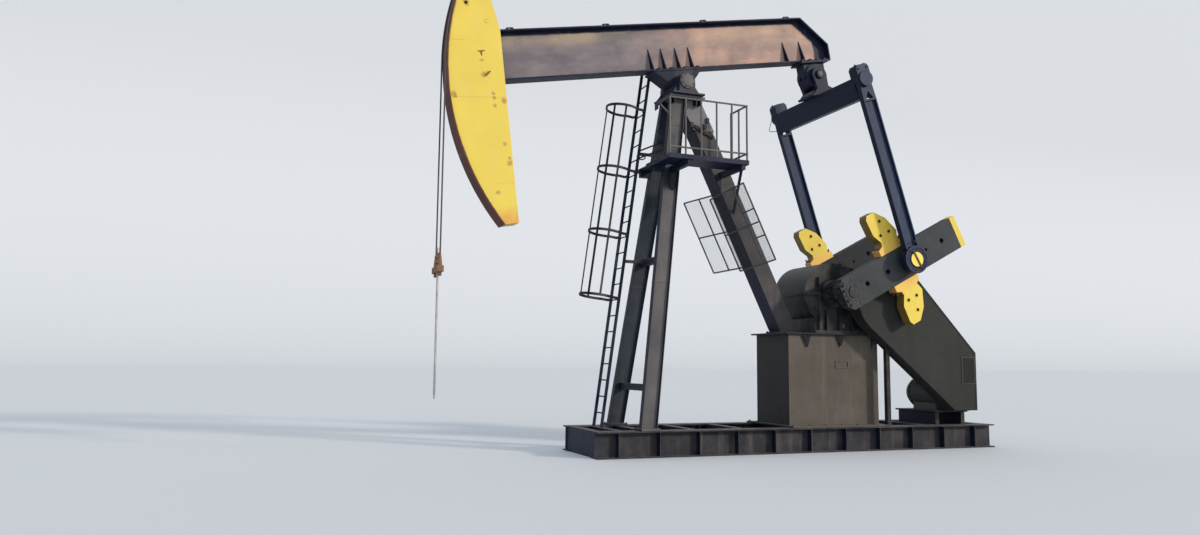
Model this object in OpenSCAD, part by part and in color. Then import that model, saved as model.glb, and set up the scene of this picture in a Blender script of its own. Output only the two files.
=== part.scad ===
// Crank-balanced beam pumping unit, from the ground up.
// Origin on the ground under the saddle axis. +X runs from the horsehead to the cranks, +Z up.
// The near side, with the platform and the belt guard, is at -Y.

/* [Linkage] */
// Height of the saddle axis above the ground
pivot_h = 6990; // [6900:10:7100]
// Saddle axis to equalizer axis, along the beam
rear_arm = 3160; // [3120:10:3200]
// Equalizer axis to wrist pin axis
pitman_l = 4100; // [4060:10:4140]
// Crankshaft axis to wrist pin axis
crank_r = 1425; // [1400:5:1450]
// Crankshaft axis behind the saddle axis
shaft_x = 3100; // [3080:10:3140]
// Height of the crankshaft axis above the ground
shaft_h = 3020; // [3000:10:3060]
// Angle of the cranks above level, as they stand
crank_angle = 27.3; // [24:0.1:30]

/* [Walking beam] */
// Saddle axis to the underside of the beam
beam_gap = 315; // [300:5:340]
// Depth of the beam over its flanges
beam_depth = 930; // [880:10:980]
// Width of the beam's flanges
beam_w = 300; // [280:5:320]
// Thickness of the beam's flanges
beam_flange_t = 30; // [22:1:36]
// Thickness of the beam's web
beam_web_t = 20; // [14:1:26]
// Length of the beam inside the horsehead, short of the arc's face
beam_head_gap = 610; // [560:10:660]
// Saddle axis to the beam's rear end
beam_tail = 3600; // [3560:10:3700]
// Length of the sloping cut at the rear end
tail_cut_l = 580; // [500:10:640]
// Height of the upright plate at the rear end
tail_end_h = 345; // [300:5:400]

/* [Horsehead] */
// Radius of the horsehead's arc face about the saddle axis
head_r = 4560; // [4540:5:4600]
// Thickness of the rim that the wireline bears on
rim_t = 24; // [20:2:34]
// Width of the rim
rim_w = 400; // [390:5:430]
// Thickness of the side plates
side_t = 15; // [10:1:20]
// Reach of the arc above the beam's axis, in degrees
head_up = 33; // [32:0.5:35]
// Reach of the arc below the beam's axis, in degrees
head_down = 29.8; // [28:0.1:31]
// Depth of the head ahead of its back edge, at its foot
head_low_d = 890; // [860:5:920]
// Depth of the head ahead of its back edge, at the top of the beam
head_mid_d = 1120; // [1080:5:1160]
// Depth of the head ahead of its back edge, at its top
head_top_d = 950; // [920:5:980]

/* [Wireline and hanger] */
// Diameter of each wireline
line_d = 28; // [22:1:32]
// Distance between the two wirelines
line_spread = 360; // [330:5:365]
// Height of the carrier bar above the ground
carrier_h = 3200; // [3100:10:3400]
// Length of the carrier bar across the rod
carrier_l = 520; // [500:5:560]
// Depth of the carrier bar
carrier_t = 100; // [80:5:120]
// Diameter of the polished rod
rod_d = 38; // [32:1:40]
// Height of the rod's lower end above the ground
rod_end_h = 1000; // [900:10:1200]
// Diameter of the pin at the rod's lower end
rod_pin_d = 30; // [26:1:31]
// Length of the pin at the rod's lower end
rod_pin_l = 60; // [50:5:80]

/* [Saddle and post] */
// Radius of the saddle shaft
saddle_shaft_r = 90; // [80:1:100]
// Half width of the saddle housing
saddle_half_w = 290; // [270:5:310]
// Saddle axis to the top of the post
saddle_seat = 250; // [240:5:280]
// Thickness of the post's cap plate
cap_t = 40; // [30:1:50]
// Depth of the front legs' I-section, along the beam
leg_w = 310; // [280:5:330]
// Flange width of the front legs' I-section, across the beam's plane
leg_d = 130; // [110:5:160]
// Thickness of the rear leg, across its lean
rear_leg_t = 350; // [320:5:380]
// Half width of the rear leg
rear_leg_half_w = 200; // [180:5:220]
// Front feet ahead of the saddle axis
front_foot_x = 950; // [900:10:1000]
// Front feet to the centre plane
front_foot_y = 770; // [750:5:790]
// Front legs' tops ahead of the saddle axis
front_top_x = 100; // [80:5:120]
// Front legs' tops to the centre plane
front_top_y = 190; // [180:5:210]
// Rear leg's top behind the saddle axis
rear_top_x = 466; // [440:2:490]
// Rear leg's top below the post's top
rear_top_drop = 620; // [600:10:660]
// Rear leg's foot behind the pedestal's front face
rear_foot_dx = 275; // [260:5:290]

/* [Base] */
// Height of the base rails
base_h = 460; // [420:5:500]
// Width of the base rails' flanges
rail_flange_w = 300; // [280:5:310]
// Base rails' centres to the centre plane
rail_y = 760; // [750:5:770]
// Front end of the base ahead of the saddle axis
base_front = 1950; // [1900:10:2100]
// Rear end of the base behind the saddle axis
base_rear = 6750; // [6700:10:6900]
// Thickness of the base rails' flanges and webs
rail_t = 24; // [18:1:28]
// Half width of the anchor holes' rows in the rails' foot flanges
anchor_edge = 90; // [80:5:110]

/* [Gearbox and drive] */
// Top of the pedestal below the crankshaft axis
pedestal_drop = 770; // [740:10:800]
// Front face of the pedestal ahead of the crankshaft axis
pedestal_dx = 1030; // [1010:10:1060]
// Length of the pedestal
pedestal_l = 2070; // [2000:10:2200]
// Half width of the pedestal
pedestal_half_w = 580; // [560:5:600]
// Radius of the gearbox's round front about the crankshaft
gearbox_r = 620; // [600:5:640]
// Half width of the gearbox
gearbox_half_w = 550; // [530:5:560]
// High-speed shaft behind the crankshaft
fast_shaft_dx = 1080; // [1060:10:1120]
// High-speed shaft below the crankshaft
fast_shaft_dz = 60; // [40:5:90]
// Radius of the belt guard round the large sheave
guard_r = 770; // [740:5:790]
// Belt guard's outer face to the centre plane
guard_face_y = 960; // [940:5:965]
// Thickness of the belt guard
guard_t = 300; // [280:5:310]
// Motor shaft behind the saddle axis
motor_x = 5900; // [5850:10:5950]
// Height of the motor shaft above the ground
motor_h = 1080; // [1050:10:1110]
// Radius of the motor's body
motor_r = 290; // [260:5:300]
// Length of the motor's body
motor_l = 900; // [860:10:960]
// Length of the motor's stand
stand_l = 860; // [820:10:900]

/* [Cranks] */
// Radius of the crankshaft
shaft_r = 110; // [100:1:120]
// Cranks' inner faces to the centre plane
crank_face_y = 1040; // [1030:5:1060]
// Thickness of each crank
crank_t = 200; // [180:5:210]
// Height of each crank's section
crank_w = 640; // [600:10:680]
// Crankshaft axis to the crank's tip
crank_tip = 2940; // [2860:10:2960]
// Crankshaft axis to the crank's hub end
crank_hub = 240; // [220:5:280]
// Thickness of each counterweight
weight_t = 210; // [200:5:240]
// Height of each counterweight above the crank's edge
weight_h = 840; // [800:10:860]
// Crankshaft axis to the counterweights' feet, along the crank
weight_x = 1220; // [1180:10:1260]

/* [Pitmans] */
// Pitmans' centres to the centre plane
pitman_y = 1450; // [1440:5:1480]
// Width of each pitman across its flanges
pitman_w = 300; // [280:5:320]
// Depth of each pitman's section
pitman_d = 120; // [110:5:140]
// Radius of the wrist pin bearings
wrist_r = 270; // [250:5:280]
// Clear gap between each wrist pin's end and its crank
wrist_gap = 6; // [5:1:10]
// Equalizer axis to the top of the cross yoke
yoke_drop = 400; // [380:5:430]
// Height of the yoke's section
yoke_h = 430; // [400:5:450]

/* [Platform and ladder] */
// Height of the platform floor above the ground
floor_h = 5350; // [5300:10:5400]
// Height of the handrail above the floor
handrail_h = 1070; // [1050:5:1100]
// Front edge of the platform ahead of the saddle axis
floor_front = 710; // [700:5:730]
// Rear edge of the platform behind the saddle axis
floor_rear = 920; // [900:5:950]
// Near edge of the platform to the centre plane
floor_near = 1120; // [1100:5:1200]
// Distance between ladder rungs
rung_pitch = 305; // [290:5:320]
// Width of the ladder over its rails
ladder_w = 400; // [380:5:420]
// Ladder's middle to the centre plane, on the far side
ladder_y = 440; // [430:5:460]
// Radius of the cage hoops
hoop_r = 340; // [330:5:380]

/* [Hidden] */
// Face gap between curved or sliding neighbours on one body
seat = 0.3;
// Running clearance of a shaft in its bearing
run = 0.5;
wrist_x = shaft_x + crank_r * cos(crank_angle);
wrist_h = shaft_h + crank_r * sin(crank_angle);
wrist_reach = norm([wrist_x, wrist_h - pivot_h]);
beam_rest = atan2(wrist_h - pivot_h, wrist_x)
    + acos((rear_arm ^ 2 + wrist_reach ^ 2 - pitman_l ^ 2) / (2 * rear_arm * wrist_reach));
eq_x = rear_arm * cos(beam_rest);
eq_h = pivot_h + rear_arm * sin(beam_rest);
pitman_tilt = atan2(wrist_x - eq_x, eq_h - wrist_h);
beam_top = beam_gap + beam_depth;
beam_front = head_r - beam_head_gap;
back_low_x = head_r - head_low_d;
back_mid_x = head_r - head_mid_d;
back_top_x = head_r - head_top_d;
plate_r = head_r - rim_t;
head_top_z = head_r * sin(head_up);
head_foot_z = -head_r * sin(head_down);
side_y = beam_w / 2 + seat;
line_r = line_d / 2;
line_x = head_r + line_r + seat;
post_top = pivot_h - saddle_seat;
leg_top = post_top - cap_t;
pedestal_top = shaft_h - pedestal_drop;
pedestal_x = shaft_x - pedestal_dx;
rear_bracket_h = post_top - rear_top_drop;
rear_foot_x = pedestal_x + rear_foot_dx;
rear_lean = atan((rear_foot_x - rear_top_x) / (rear_bracket_h - pedestal_top));
gearbox_foot = pedestal_top + 50;
fast_x = shaft_x + fast_shaft_dx;
fast_h = shaft_h - fast_shaft_dz;
guard_back_y = guard_face_y - guard_t;
pitman_in = pitman_y - pitman_d / 2;
pitman_out = pitman_y + pitman_d / 2;
yoke_half = pitman_in - 20;
crank_out = crank_face_y + crank_t;
crank_mid_y = crank_face_y + crank_t / 2;
floor_t = 30;
floor_in = 485;
strip_rear = -front_leg_x(floor_h - 30) + leg_w / 2 / cos(8) + 2;
strip_far = 500;
bracket_h = 110;
ladder_lean = 7.9;
ladder_top = 7400;
round_fn = 48;
tube_fn = 8;
far = 20000;

// Frames of the moving pieces: X along the beam, X along the crank, -Z down the pitman
module beam_frame() {
    translate([0, 0, pivot_h]) rotate([0, -beam_rest, 0]) children();
}

module crank_frame() {
    translate([shaft_x, 0, shaft_h]) rotate([0, -crank_angle, 0]) children();
}

module pitman_frame() {
    translate([eq_x, 0, eq_h]) rotate([0, -pitman_tilt, 0]) children();
}

module ladder_frame() {
    translate([-ladder_foot_x(), ladder_y, 0]) rotate([0, ladder_lean, 0]) children();
}

// How far ahead of the saddle axis the ladder's line meets the ground
function ladder_foot_x() = floor_front + 45 + floor_h * tan(ladder_lean);

// Where the front legs' centre lines are at height z
function front_leg_x(z) = -front_foot_x + (z - base_h) * (front_foot_x - front_top_x) / (leg_top - base_h);

// A front leg's place across the unit at height z
function front_leg_y(z) = front_foot_y - (z - base_h) * (front_foot_y - front_top_y) / (leg_top - base_h);

// How far behind the saddle axis the rear leg's centre line is at height z
function rear_leg_x(z) = rear_foot_x - (z - pedestal_top) * tan(rear_lean);

// A profile in the XZ plane, extruded from y = y0 to y = y1
module side_plate(points, y0, y1) {
    translate([0, y1, 0]) rotate([90, 0, 0]) linear_extrude(height = y1 - y0) polygon(points);
}

// A cylinder along Y
module cross_cyl(r, y0, y1, x = 0, z = 0, fn = round_fn) {
    translate([x, y1, z]) rotate([90, 0, 0]) cylinder(r = r, h = y1 - y0, $fn = fn);
}

module box(low, high) {
    translate(low) cube(high - low);
}

// A rectangular bar from p to q whose section stays square to the X and Y axes
module bar(p, q, a, b) {
    v = q - p;
    az = atan2(v[1], v[0]);
    translate(p) rotate([0, acos(v[2] / norm(v)), az]) rotate([0, 0, -az])
        translate([-a / 2, -b / 2, 0]) cube([a, b, norm(v)]);
}

module tube(p, q, r) {
    v = q - p;
    translate(p) rotate([0, acos(v[2] / norm(v)), atan2(v[1], v[0])])
        cylinder(r = r, h = norm(v), $fn = tube_fn);
}

// Mirrors its children to the far side when side is 1; side -1 is the near side
module on_side(side) {
    if (side > 0) mirror([0, 1, 0]) children();
    else children();
}

// Base: two I-section rails on the ground and the members between them
module rail() {
    difference() {
        union() {
            box([-base_front, -rail_flange_w / 2, 0], [base_rear, rail_flange_w / 2, rail_t]);
            box([-base_front, -rail_flange_w / 2, base_h - rail_t], [base_rear, rail_flange_w / 2, base_h]);
            box([-base_front, -rail_t / 2, rail_t], [base_rear, rail_t / 2, base_h - rail_t]);
        }
        for (x = anchor_xs, s = [-1, 1])
            translate([x, s * anchor_edge, -1]) cylinder(r = anchor_hole_r, h = rail_t + 2, $fn = 24);
    }
}

anchor_xs = [-base_front + 300, base_rear - 300];
anchor_hole_r = 17;

module rail_near() {
    color("#3b3c3f") translate([0, -rail_y, 0]) rail();
}

module rail_far() {
    color("#3b3c3f") translate([0, rail_y, 0]) rail();
}

ladder_foot_member = ladder_foot_x() - base_h * tan(ladder_lean);
member_xs = [
    -base_front + 100, -ladder_foot_member, -front_foot_x, 0, 1000,
    pedestal_x + 120, pedestal_x + pedestal_l / 2, pedestal_x + pedestal_l - 120,
    motor_x - stand_l / 2 - 270, motor_x - stand_l / 2 + 100, motor_x + stand_l / 2 - 100, base_rear - 100
];
member_w = 150;

module cross_members() {
    inner = rail_y - rail_flange_w / 2 - seat;
    color("#343539") for (x = member_xs) {
        box(
            [x - member_w / 2, rail_t / 2 - rail_y, rail_t],
            [x + member_w / 2, rail_y - rail_t / 2, base_h - rail_t]
        );
        box([x - member_w / 2, -inner, 0], [x + member_w / 2, inner, base_h]);
    }
}

// Post: two front legs, a rear leg, the head they meet in and the struts between
foot_plate_t = 40;

leg_plate_t = 16;

// The room of a front leg, as a full bar
module front_leg_block() {
    foot = [-front_foot_x, -front_foot_y, base_h];
    top = [-front_top_x, -front_top_y, leg_top];
    reach = (top - foot) / norm(top - foot) * leg_w;
    intersection() {
        bar(foot - reach, top + reach, leg_w, leg_d);
        box([-far, -far, base_h], [far, far, leg_top]);
    }
}

// I-section with its web across the beam's plane
module front_leg_shape() {
    foot = [-front_foot_x, -front_foot_y, base_h];
    top = [-front_top_x, -front_top_y, leg_top];
    reach = (top - foot) / norm(top - foot) * leg_w;
    difference() {
        front_leg_block();
        for (s = [-1, 1]) {
            aside = [0, s * (leg_plate_t + leg_d) / 2, 0];
            bar(foot - 2 * reach + aside, top + 2 * reach + aside, leg_w - 2 * leg_plate_t, leg_d);
        }
    }
}

module front_leg() {
    plate = leg_w / 2 + 30;
    front_leg_shape();
    box([-front_foot_x - plate, -front_foot_y - leg_w / 2 + 12, base_h],
        [-front_foot_x + plate, -front_foot_y + plate, base_h + foot_plate_t]);
}

module front_leg_near() {
    color("#6b625c") front_leg();
}

module front_leg_far() {
    color("#33373f") on_side(1) front_leg();
}

module rear_leg_shape() {
    foot = [rear_foot_x, 0, pedestal_top];
    top = [rear_leg_x(rear_bracket_h), 0, rear_bracket_h];
    reach = (top - foot) / norm(top - foot) * rear_leg_t;
    intersection() {
        bar(foot - reach, top + reach, rear_leg_t, 2 * rear_leg_half_w);
        box([-far, -far, pedestal_top], [far, far, rear_bracket_h]);
    }
}

module rear_leg() {
    half = rear_leg_t / cos(rear_lean) / 2;
    color("#4a4a4e") {
        rear_leg_shape();
        box([rear_foot_x - half - 60, -rear_leg_half_w - 60, pedestal_top],
            [rear_foot_x + half + 60, rear_leg_half_w + 60, pedestal_top + 30]);
    }
}

brace_hs = [1200, 3550];
standoff_h = 5650;
ladder_rail_d = 60;

// Struts between the front legs, and stand-offs from them to the ladder
module leg_braces() {
    color("#3a3d44") for (h = brace_hs) difference() {
        x = front_leg_x(h);
        box([x - 60, -front_leg_y(h), h - 60], [x + 60, front_leg_y(h), h + 60]);
        front_leg_shape();
        on_side(1) front_leg_shape();
    }
    color("#3a3d44") difference() {
        union() for (e = [[brace_hs[1], front_leg_x(brace_hs[1]) - 60], [standoff_h, -150]]) {
            x = -ladder_foot_x() + e[0] * tan(ladder_lean) + ladder_rail_d / 2 / cos(ladder_lean);
            y = ladder_y - rail_half;
            box([x - 4, y - 14, e[0] - 30], [e[1], y + 14, e[0] + 30]);
        }
        ladder_frame() box([-far, -far, 0], [ladder_rail_d / 2, far, far]);
        on_side(1) front_leg_block();
    }
}

cap_front = 320;
cap_rear = 420;
cap_half_w = 360;

module post_head() {
    color("#6f665f") {
        box([-cap_front, -cap_half_w, leg_top], [cap_rear, cap_half_w, post_top]);
        side_plate([
            [100, leg_top + 1], [cap_rear - 20, leg_top + 1],
            [rear_leg_x(rear_bracket_h) + 235, rear_bracket_h],
            [rear_leg_x(rear_bracket_h) - 225, rear_bracket_h], [100, rear_bracket_h + 280]
        ], -rear_leg_half_w, rear_leg_half_w);
    }
}

// Saddle: the fixed block and shaft, and the housing that the beam sits on
cheek_in = saddle_half_w + 12;
cheek_t = 130;
cheek_out = cheek_in + cheek_t;
cheek_r = 170;
block_front = 300;
block_rear = 370;
block_t = 35;

module saddle_block() {
    color("#5b5854") {
        box([-block_front, -cheek_out - 20, post_top], [block_rear, cheek_out + 20, post_top + block_t]);
        for (s = [-1, 1]) on_side(s) {
            box([-cheek_r, -cheek_out, post_top + block_t - 5], [cheek_r, -cheek_in, pivot_h]);
            cross_cyl(cheek_r, -cheek_out, -cheek_in, 0, pivot_h);
        }
        cross_cyl(saddle_shaft_r, -cheek_out - 30, cheek_out + 30, 0, pivot_h);
    }
}

saddle_front = 560;
saddle_rear = 500;
saddle_plate_half_w = 215;
saddle_wedge_half_w = 200;

module saddle_housing() {
    color("#2f3440") beam_frame() difference() {
        union() {
            cross_cyl(190, -saddle_half_w, saddle_half_w);
            box(
                [-saddle_front, -saddle_plate_half_w, beam_gap - 30],
                [saddle_rear, saddle_plate_half_w, beam_gap]
            );
            side_plate([
                [-saddle_front + 20, beam_gap - 29], [-saddle_front + 60, beam_gap - 70], [-170, -40],
                [170, -40], [saddle_rear - 120, beam_gap - 150], [saddle_rear - 20, beam_gap - 29]
            ], -saddle_wedge_half_w, saddle_wedge_half_w);
        }
        cross_cyl(saddle_shaft_r + run, -saddle_half_w - 1, saddle_half_w + 1);
    }
}

// Walking beam and the bearing under its tail
tail_top_x = beam_tail - tail_cut_l;
cut_angle = atan((beam_depth - tail_end_h) / tail_cut_l);

module beam_web_shape(y0, y1, inset) {
    side_plate([
        [-beam_front - (inset > 0 ? 1 : 0), beam_gap + inset],
        [beam_tail - inset, beam_gap + inset],
        [beam_tail - inset, beam_gap + tail_end_h - inset * tan((90 - cut_angle) / 2)],
        [tail_top_x - inset * tan(cut_angle / 2), beam_top - inset],
        [-beam_front - (inset > 0 ? 1 : 0), beam_top - inset]
    ], y0, y1);
}

module walking_beam() {
    color("#6e645f") beam_frame() {
        difference() {
            beam_web_shape(-beam_w / 2, beam_w / 2, 0);
            beam_web_shape(-beam_w / 2 - 1, -beam_web_t / 2, beam_flange_t);
            beam_web_shape(beam_web_t / 2, beam_w / 2 + 1, beam_flange_t);
        }
    }
}

saddle_stiffener_xs = [-520, -250, 60, 350];
tail_stiffener_dxs = [-600, -200];
lug_xs = [150 - beam_front + 590, -1300, 810, tail_top_x - 250];
stiffener_h = 440;
stiffener_t = 20;

module stiffener(x, side) {
    z0 = beam_gap + beam_flange_t;
    on_side(side) translate([x, 0, 0]) rotate([90, 0, 90]) linear_extrude(height = stiffener_t)
        polygon([[-beam_w / 2 + 10, z0], [-beam_web_t / 2, z0], [-beam_web_t / 2, z0 + stiffener_h]]);
}

module beam_stiffeners() {
    color("#2b303b") beam_frame() {
        for (s = [-1, 1]) {
            for (x = saddle_stiffener_xs) stiffener(x, s);
            for (dx = tail_stiffener_dxs) stiffener(rear_arm + dx, s);
        }
        for (x = lug_xs) lug(x);
    }
}

// A lifting lug on the beam's top flange
module lug(x) {
    difference() {
        side_plate([
            [x - 110, beam_top], [x + 110, beam_top], [x + 60, beam_top + 75], [x - 60, beam_top + 75]
        ], -14, 14);
        cross_cyl(20, -15, 15, x, beam_top + 42, 24);
    }
}

bearing_half_w = 170;
bearing_r = 250;
eq_shaft_r = 90;

module equalizer_bearing() {
    color("#3a3b40") beam_frame() translate([rear_arm, 0, 0]) difference() {
        union() {
            cross_cyl(bearing_r, -bearing_half_w, bearing_half_w);
            box([-bearing_r, -130, 0], [bearing_r, 130, beam_gap - 30]);
            box([-330, -200, beam_gap - 40], [330, 200, beam_gap]);
        }
        cross_cyl(eq_shaft_r + run, -bearing_half_w - 1, bearing_half_w + 1);
    }
}

// Horsehead: side plates, rim and the plates that close its back
module head_outline(y0, y1) {
    side_plate([
        [-head_r - 100, head_foot_z], [-back_low_x, head_foot_z],
        [-back_mid_x, beam_top], [-back_top_x, head_top_z], [-head_r - 100, head_top_z]
    ], y0, y1);
}

module horsehead_sides() {
    color("#e8d45a") beam_frame() for (s = [-1, 1]) on_side(s) intersection() {
        cross_cyl(plate_r - seat, -side_y - side_t, -side_y, 0, 0, 180);
        head_outline(-side_y - side_t, -side_y);
    }
}

module horsehead_rim() {
    color("#5d4136") beam_frame() intersection() {
        difference() {
            cross_cyl(head_r, -rim_w / 2, rim_w / 2, 0, 0, 180);
            cross_cyl(plate_r, -rim_w / 2 - 1, rim_w / 2 + 1, 0, 0, 180);
        }
        head_outline(-rim_w / 2, rim_w / 2);
    }
}

// A point on the head's back edge below the beam's top, at height z
function back_x(z) = -back_low_x + (z - head_foot_z) * (back_low_x - back_mid_x) / (beam_top - head_foot_z);

module horsehead_back() {
    t = 15;
    low = beam_gap - seat;
    rim_foot_x = -sqrt((plate_r - seat) ^ 2 - head_foot_z ^ 2);
    color("#c9b648") beam_frame() {
        side_plate([
            [rim_foot_x, head_foot_z], [-back_low_x, head_foot_z], [back_x(low), low],
            [back_x(low) - t, low], [-back_low_x - t, head_foot_z + t], [rim_foot_x, head_foot_z + t]
        ], -side_y, side_y);
        side_plate([
            [-back_mid_x, beam_top + seat], [-back_top_x, head_top_z],
            [-sqrt((plate_r - seat) ^ 2 - head_top_z ^ 2), head_top_z],
            [-sqrt((plate_r - seat) ^ 2 - head_top_z ^ 2), head_top_z - t],
            [-back_top_x - t, head_top_z - t], [-back_mid_x - t, beam_top + seat]
        ], -side_y, side_y);
    }
}

// Wirelines: the part that lies on the rim, and the part that hangs from it
line_clamp_half = line_spread / 2 + 20;

module wireline_wrap() {
    color("#55504c") beam_frame() {
        for (s = [-1, 1]) translate([0, s * line_spread / 2, 0]) rotate([90, 0, 0])
            rotate([0, 0, 180 - head_up + 1]) rotate_extrude(angle = head_up - 1 - beam_rest, $fn = 360)
            translate([line_x, 0]) circle(r = line_r, $fn = 16);
        rotate([0, head_up - 1, 0]) box([-line_x - line_r - 20, -line_clamp_half, 0],
            [-head_r - seat, line_clamp_half, 60]);
    }
}

module wireline_drop() {
    z0 = carrier_h + carrier_t / 2;
    color("#6b655f") for (s = [-1, 1])
        translate([-line_x, s * line_spread / 2, z0]) cylinder(r = line_r, h = pivot_h - z0, $fn = 16);
}

module carrier_bar() {
    clamp_h = 190;
    color("#6a4a35") difference() {
        union() {
            box([-line_x - 55, -carrier_l / 2, carrier_h - carrier_t / 2],
                [-line_x + 55, carrier_l / 2, carrier_h + carrier_t / 2]);
            box([-line_x - 50, -60, carrier_h + carrier_t / 2 - 1],
                [-line_x + 50, 60, carrier_h + carrier_t / 2 + clamp_h]);
        }
        translate([-line_x, 0, carrier_h - carrier_t])
            cylinder(r = rod_d / 2 + seat, h = 500, $fn = round_fn);
    }
}

module polished_rod() {
    color("#8d8f92") translate([-line_x, 0, 0]) {
        translate([0, 0, rod_end_h]) cylinder(r = rod_pin_d / 2, h = rod_pin_l + 1, $fn = round_fn);
        translate([0, 0, rod_end_h + rod_pin_l])
            cylinder(r = rod_d / 2, h = carrier_h + 380 - rod_end_h - rod_pin_l, $fn = round_fn);
    }
}

// Equalizer: cross yoke under the tail bearing, with the pitmans at its ends
eq_cheek_in = bearing_half_w + 12;
eq_cheek_t = 90;
eq_cheek_out = eq_cheek_in + eq_cheek_t;
eq_cheek_r = 165;
eq_stem_r = 135;
eq_base_l = 290;
yoke_half_d = 150;

module equalizer_yoke() {
    color("#262c3a") pitman_frame() difference() {
        union() {
            box([-yoke_half_d, -yoke_half, -yoke_drop - yoke_h], [yoke_half_d, yoke_half, -yoke_drop]);
            box([-eq_base_l, -eq_cheek_out, -yoke_drop - 1], [eq_base_l, eq_cheek_out, -yoke_drop + 45]);
            for (s = [-1, 1]) on_side(s) {
                side_plate([
                    [-eq_base_l + 30, -yoke_drop + 40], [eq_base_l - 30, -yoke_drop + 40],
                    [eq_stem_r, -yoke_drop + 130], [eq_cheek_r, 0], [-eq_cheek_r, 0], [-eq_stem_r, -yoke_drop + 130]
                ], -eq_cheek_out, -eq_cheek_in);
                cross_cyl(eq_cheek_r, -eq_cheek_out, -eq_cheek_in);
            }
        }
        cross_cyl(eq_shaft_r + seat, -eq_cheek_out - 1, eq_cheek_out + 1);
    }
}

module equalizer_shaft() {
    color("#77736d") pitman_frame() cross_cyl(eq_shaft_r, -eq_cheek_out - 45, eq_cheek_out + 45);
}

pitman_head_z = -yoke_drop - 80;
pitman_fork_z = pitman_head_z - 390;
pitman_cap_z = -yoke_drop + 210;
pitman_head_out = pitman_out + 30;
pitman_flange_t = 26;

module pitman() {
    half = pitman_w / 2;
    foot = -pitman_l + wrist_r - 30;
    difference() {
        union() {
            cross_cyl(150, -pitman_head_out - 35, -yoke_half, 0, pitman_head_z);
            side_plate([
                [-150, pitman_head_z], [150, pitman_head_z], [150, pitman_cap_z - 60],
                [105, pitman_cap_z], [-105, pitman_cap_z], [-150, pitman_cap_z - 60]
            ], -pitman_head_out, -yoke_half);
            side_plate([
                [-150, -yoke_drop + seat], [150, -yoke_drop + seat], [150, pitman_cap_z - 60],
                [105, pitman_cap_z], [-105, pitman_cap_z], [-150, pitman_cap_z - 60]
            ], -yoke_half - 1, -yoke_half + 60);
            side_plate([
                [-half, pitman_fork_z], [60 - half, pitman_fork_z], [0, pitman_fork_z + 150],
                [half - 60, pitman_fork_z], [half, pitman_fork_z], [135, pitman_head_z], [-135, pitman_head_z]
            ], -pitman_out, -pitman_in);
            for (m = [0, 1]) mirror([m, 0, 0])
                box([half - pitman_flange_t, -pitman_out, foot], [half, -pitman_in, pitman_fork_z + 1]);
            box([-half, -pitman_out, pitman_fork_z - 40], [half, -pitman_in, pitman_fork_z]);
            box([-half, -pitman_y - 9, foot], [half, -pitman_y + 9, pitman_fork_z]);
        }
        cross_cyl(wrist_r + seat, -far, 0, 0, -pitman_l, 96);
    }
}

module pitman_near() {
    color("#3d3c42") pitman_frame() pitman();
}

module pitman_far() {
    color("#343640") pitman_frame() on_side(1) pitman();
}

wrist_pin_r = 95;

module wrist_bearings() {
    color("#35363c") pitman_frame() for (s = [-1, 1]) on_side(s) {
        cross_cyl(wrist_r, -pitman_out - 20, -pitman_in + 15, 0, -pitman_l, 96);
        cross_cyl(150, -pitman_out - 34, -pitman_out - 19, 0, -pitman_l);
        cross_cyl(wrist_pin_r, -pitman_in, -crank_out - wrist_gap, 0, -pitman_l);
    }
}

// Cranks with their counterweights, on the crankshaft
module crankshaft() {
    color("#55534f") crank_frame() cross_cyl(shaft_r, -crank_out - 25, crank_out + 25);
}

crank_hole_xs = [370, 920, 2410];

module crank() {
    half = crank_w / 2;
    chamfer = 110;
    difference() {
        union() {
            side_plate([
                [-crank_hub, half - chamfer], [-crank_hub + chamfer, half], [crank_tip, half],
                [crank_tip, -half], [-crank_hub + chamfer, -half], [-crank_hub, -half + chamfer]
            ], -crank_out, -crank_face_y);
            cross_cyl(230, -crank_face_y - 1, -crank_face_y + 90);
        }
        cross_cyl(shaft_r + seat, -crank_out - 1, -crank_face_y + 91);
        for (x = crank_hole_xs) cross_cyl(46, -crank_out - 1, -crank_face_y + 1, x);
        cross_cyl(26, -crank_out - 1, -crank_face_y + 1, 1970);
    }
}

module crank_near() {
    color("#4b4a4a") crank_frame() crank();
}

module crank_far() {
    color("#4b4a4a") crank_frame() on_side(1) crank();
}

// A counterweight: a foot clamped along the crank's edge, a neck and a leaning body
module weight() {
    u = weight_h / 84;
    difference() {
        side_plate([
            [-31, 0], [31, 0], [31, 12], [21, 16], [23, 20], [27.5, 32], [14, 64],
            [-6, 84], [-25, 84], [-30, 76], [-29, 43], [-18, 24], [-20, 16], [-31, 12]
        ] * u, -weight_t / 2, weight_t / 2);
        for (p = [[9, 37], [-13, 37], [-2, 63]])
            cross_cyl(3.2 * u, -weight_t, weight_t, p[0] * u, p[1] * u, 24);
    }
}

module place_weight(side, up) {
    color("#ecd52f") crank_frame() translate([weight_x, side * crank_mid_y, up * (crank_w / 2 + seat)])
        mirror([0, 0, up > 0 ? 0 : 1]) weight();
}

module weight_near_upper() {
    place_weight(-1, 1);
}

module weight_near_lower() {
    place_weight(-1, -1);
}

module weight_far_upper() {
    place_weight(1, 1);
}

module weight_far_lower() {
    place_weight(1, -1);
}

// Drive: pedestal, gearbox, belt guard and motor
pedestal_rear = pedestal_x + pedestal_l;
gearbox_rear = fast_x + 420;
gearbox_front = shaft_x - gearbox_r + 220;
gusset_xs = [pedestal_x + 400, pedestal_x + 1150, pedestal_rear - 150];

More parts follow.
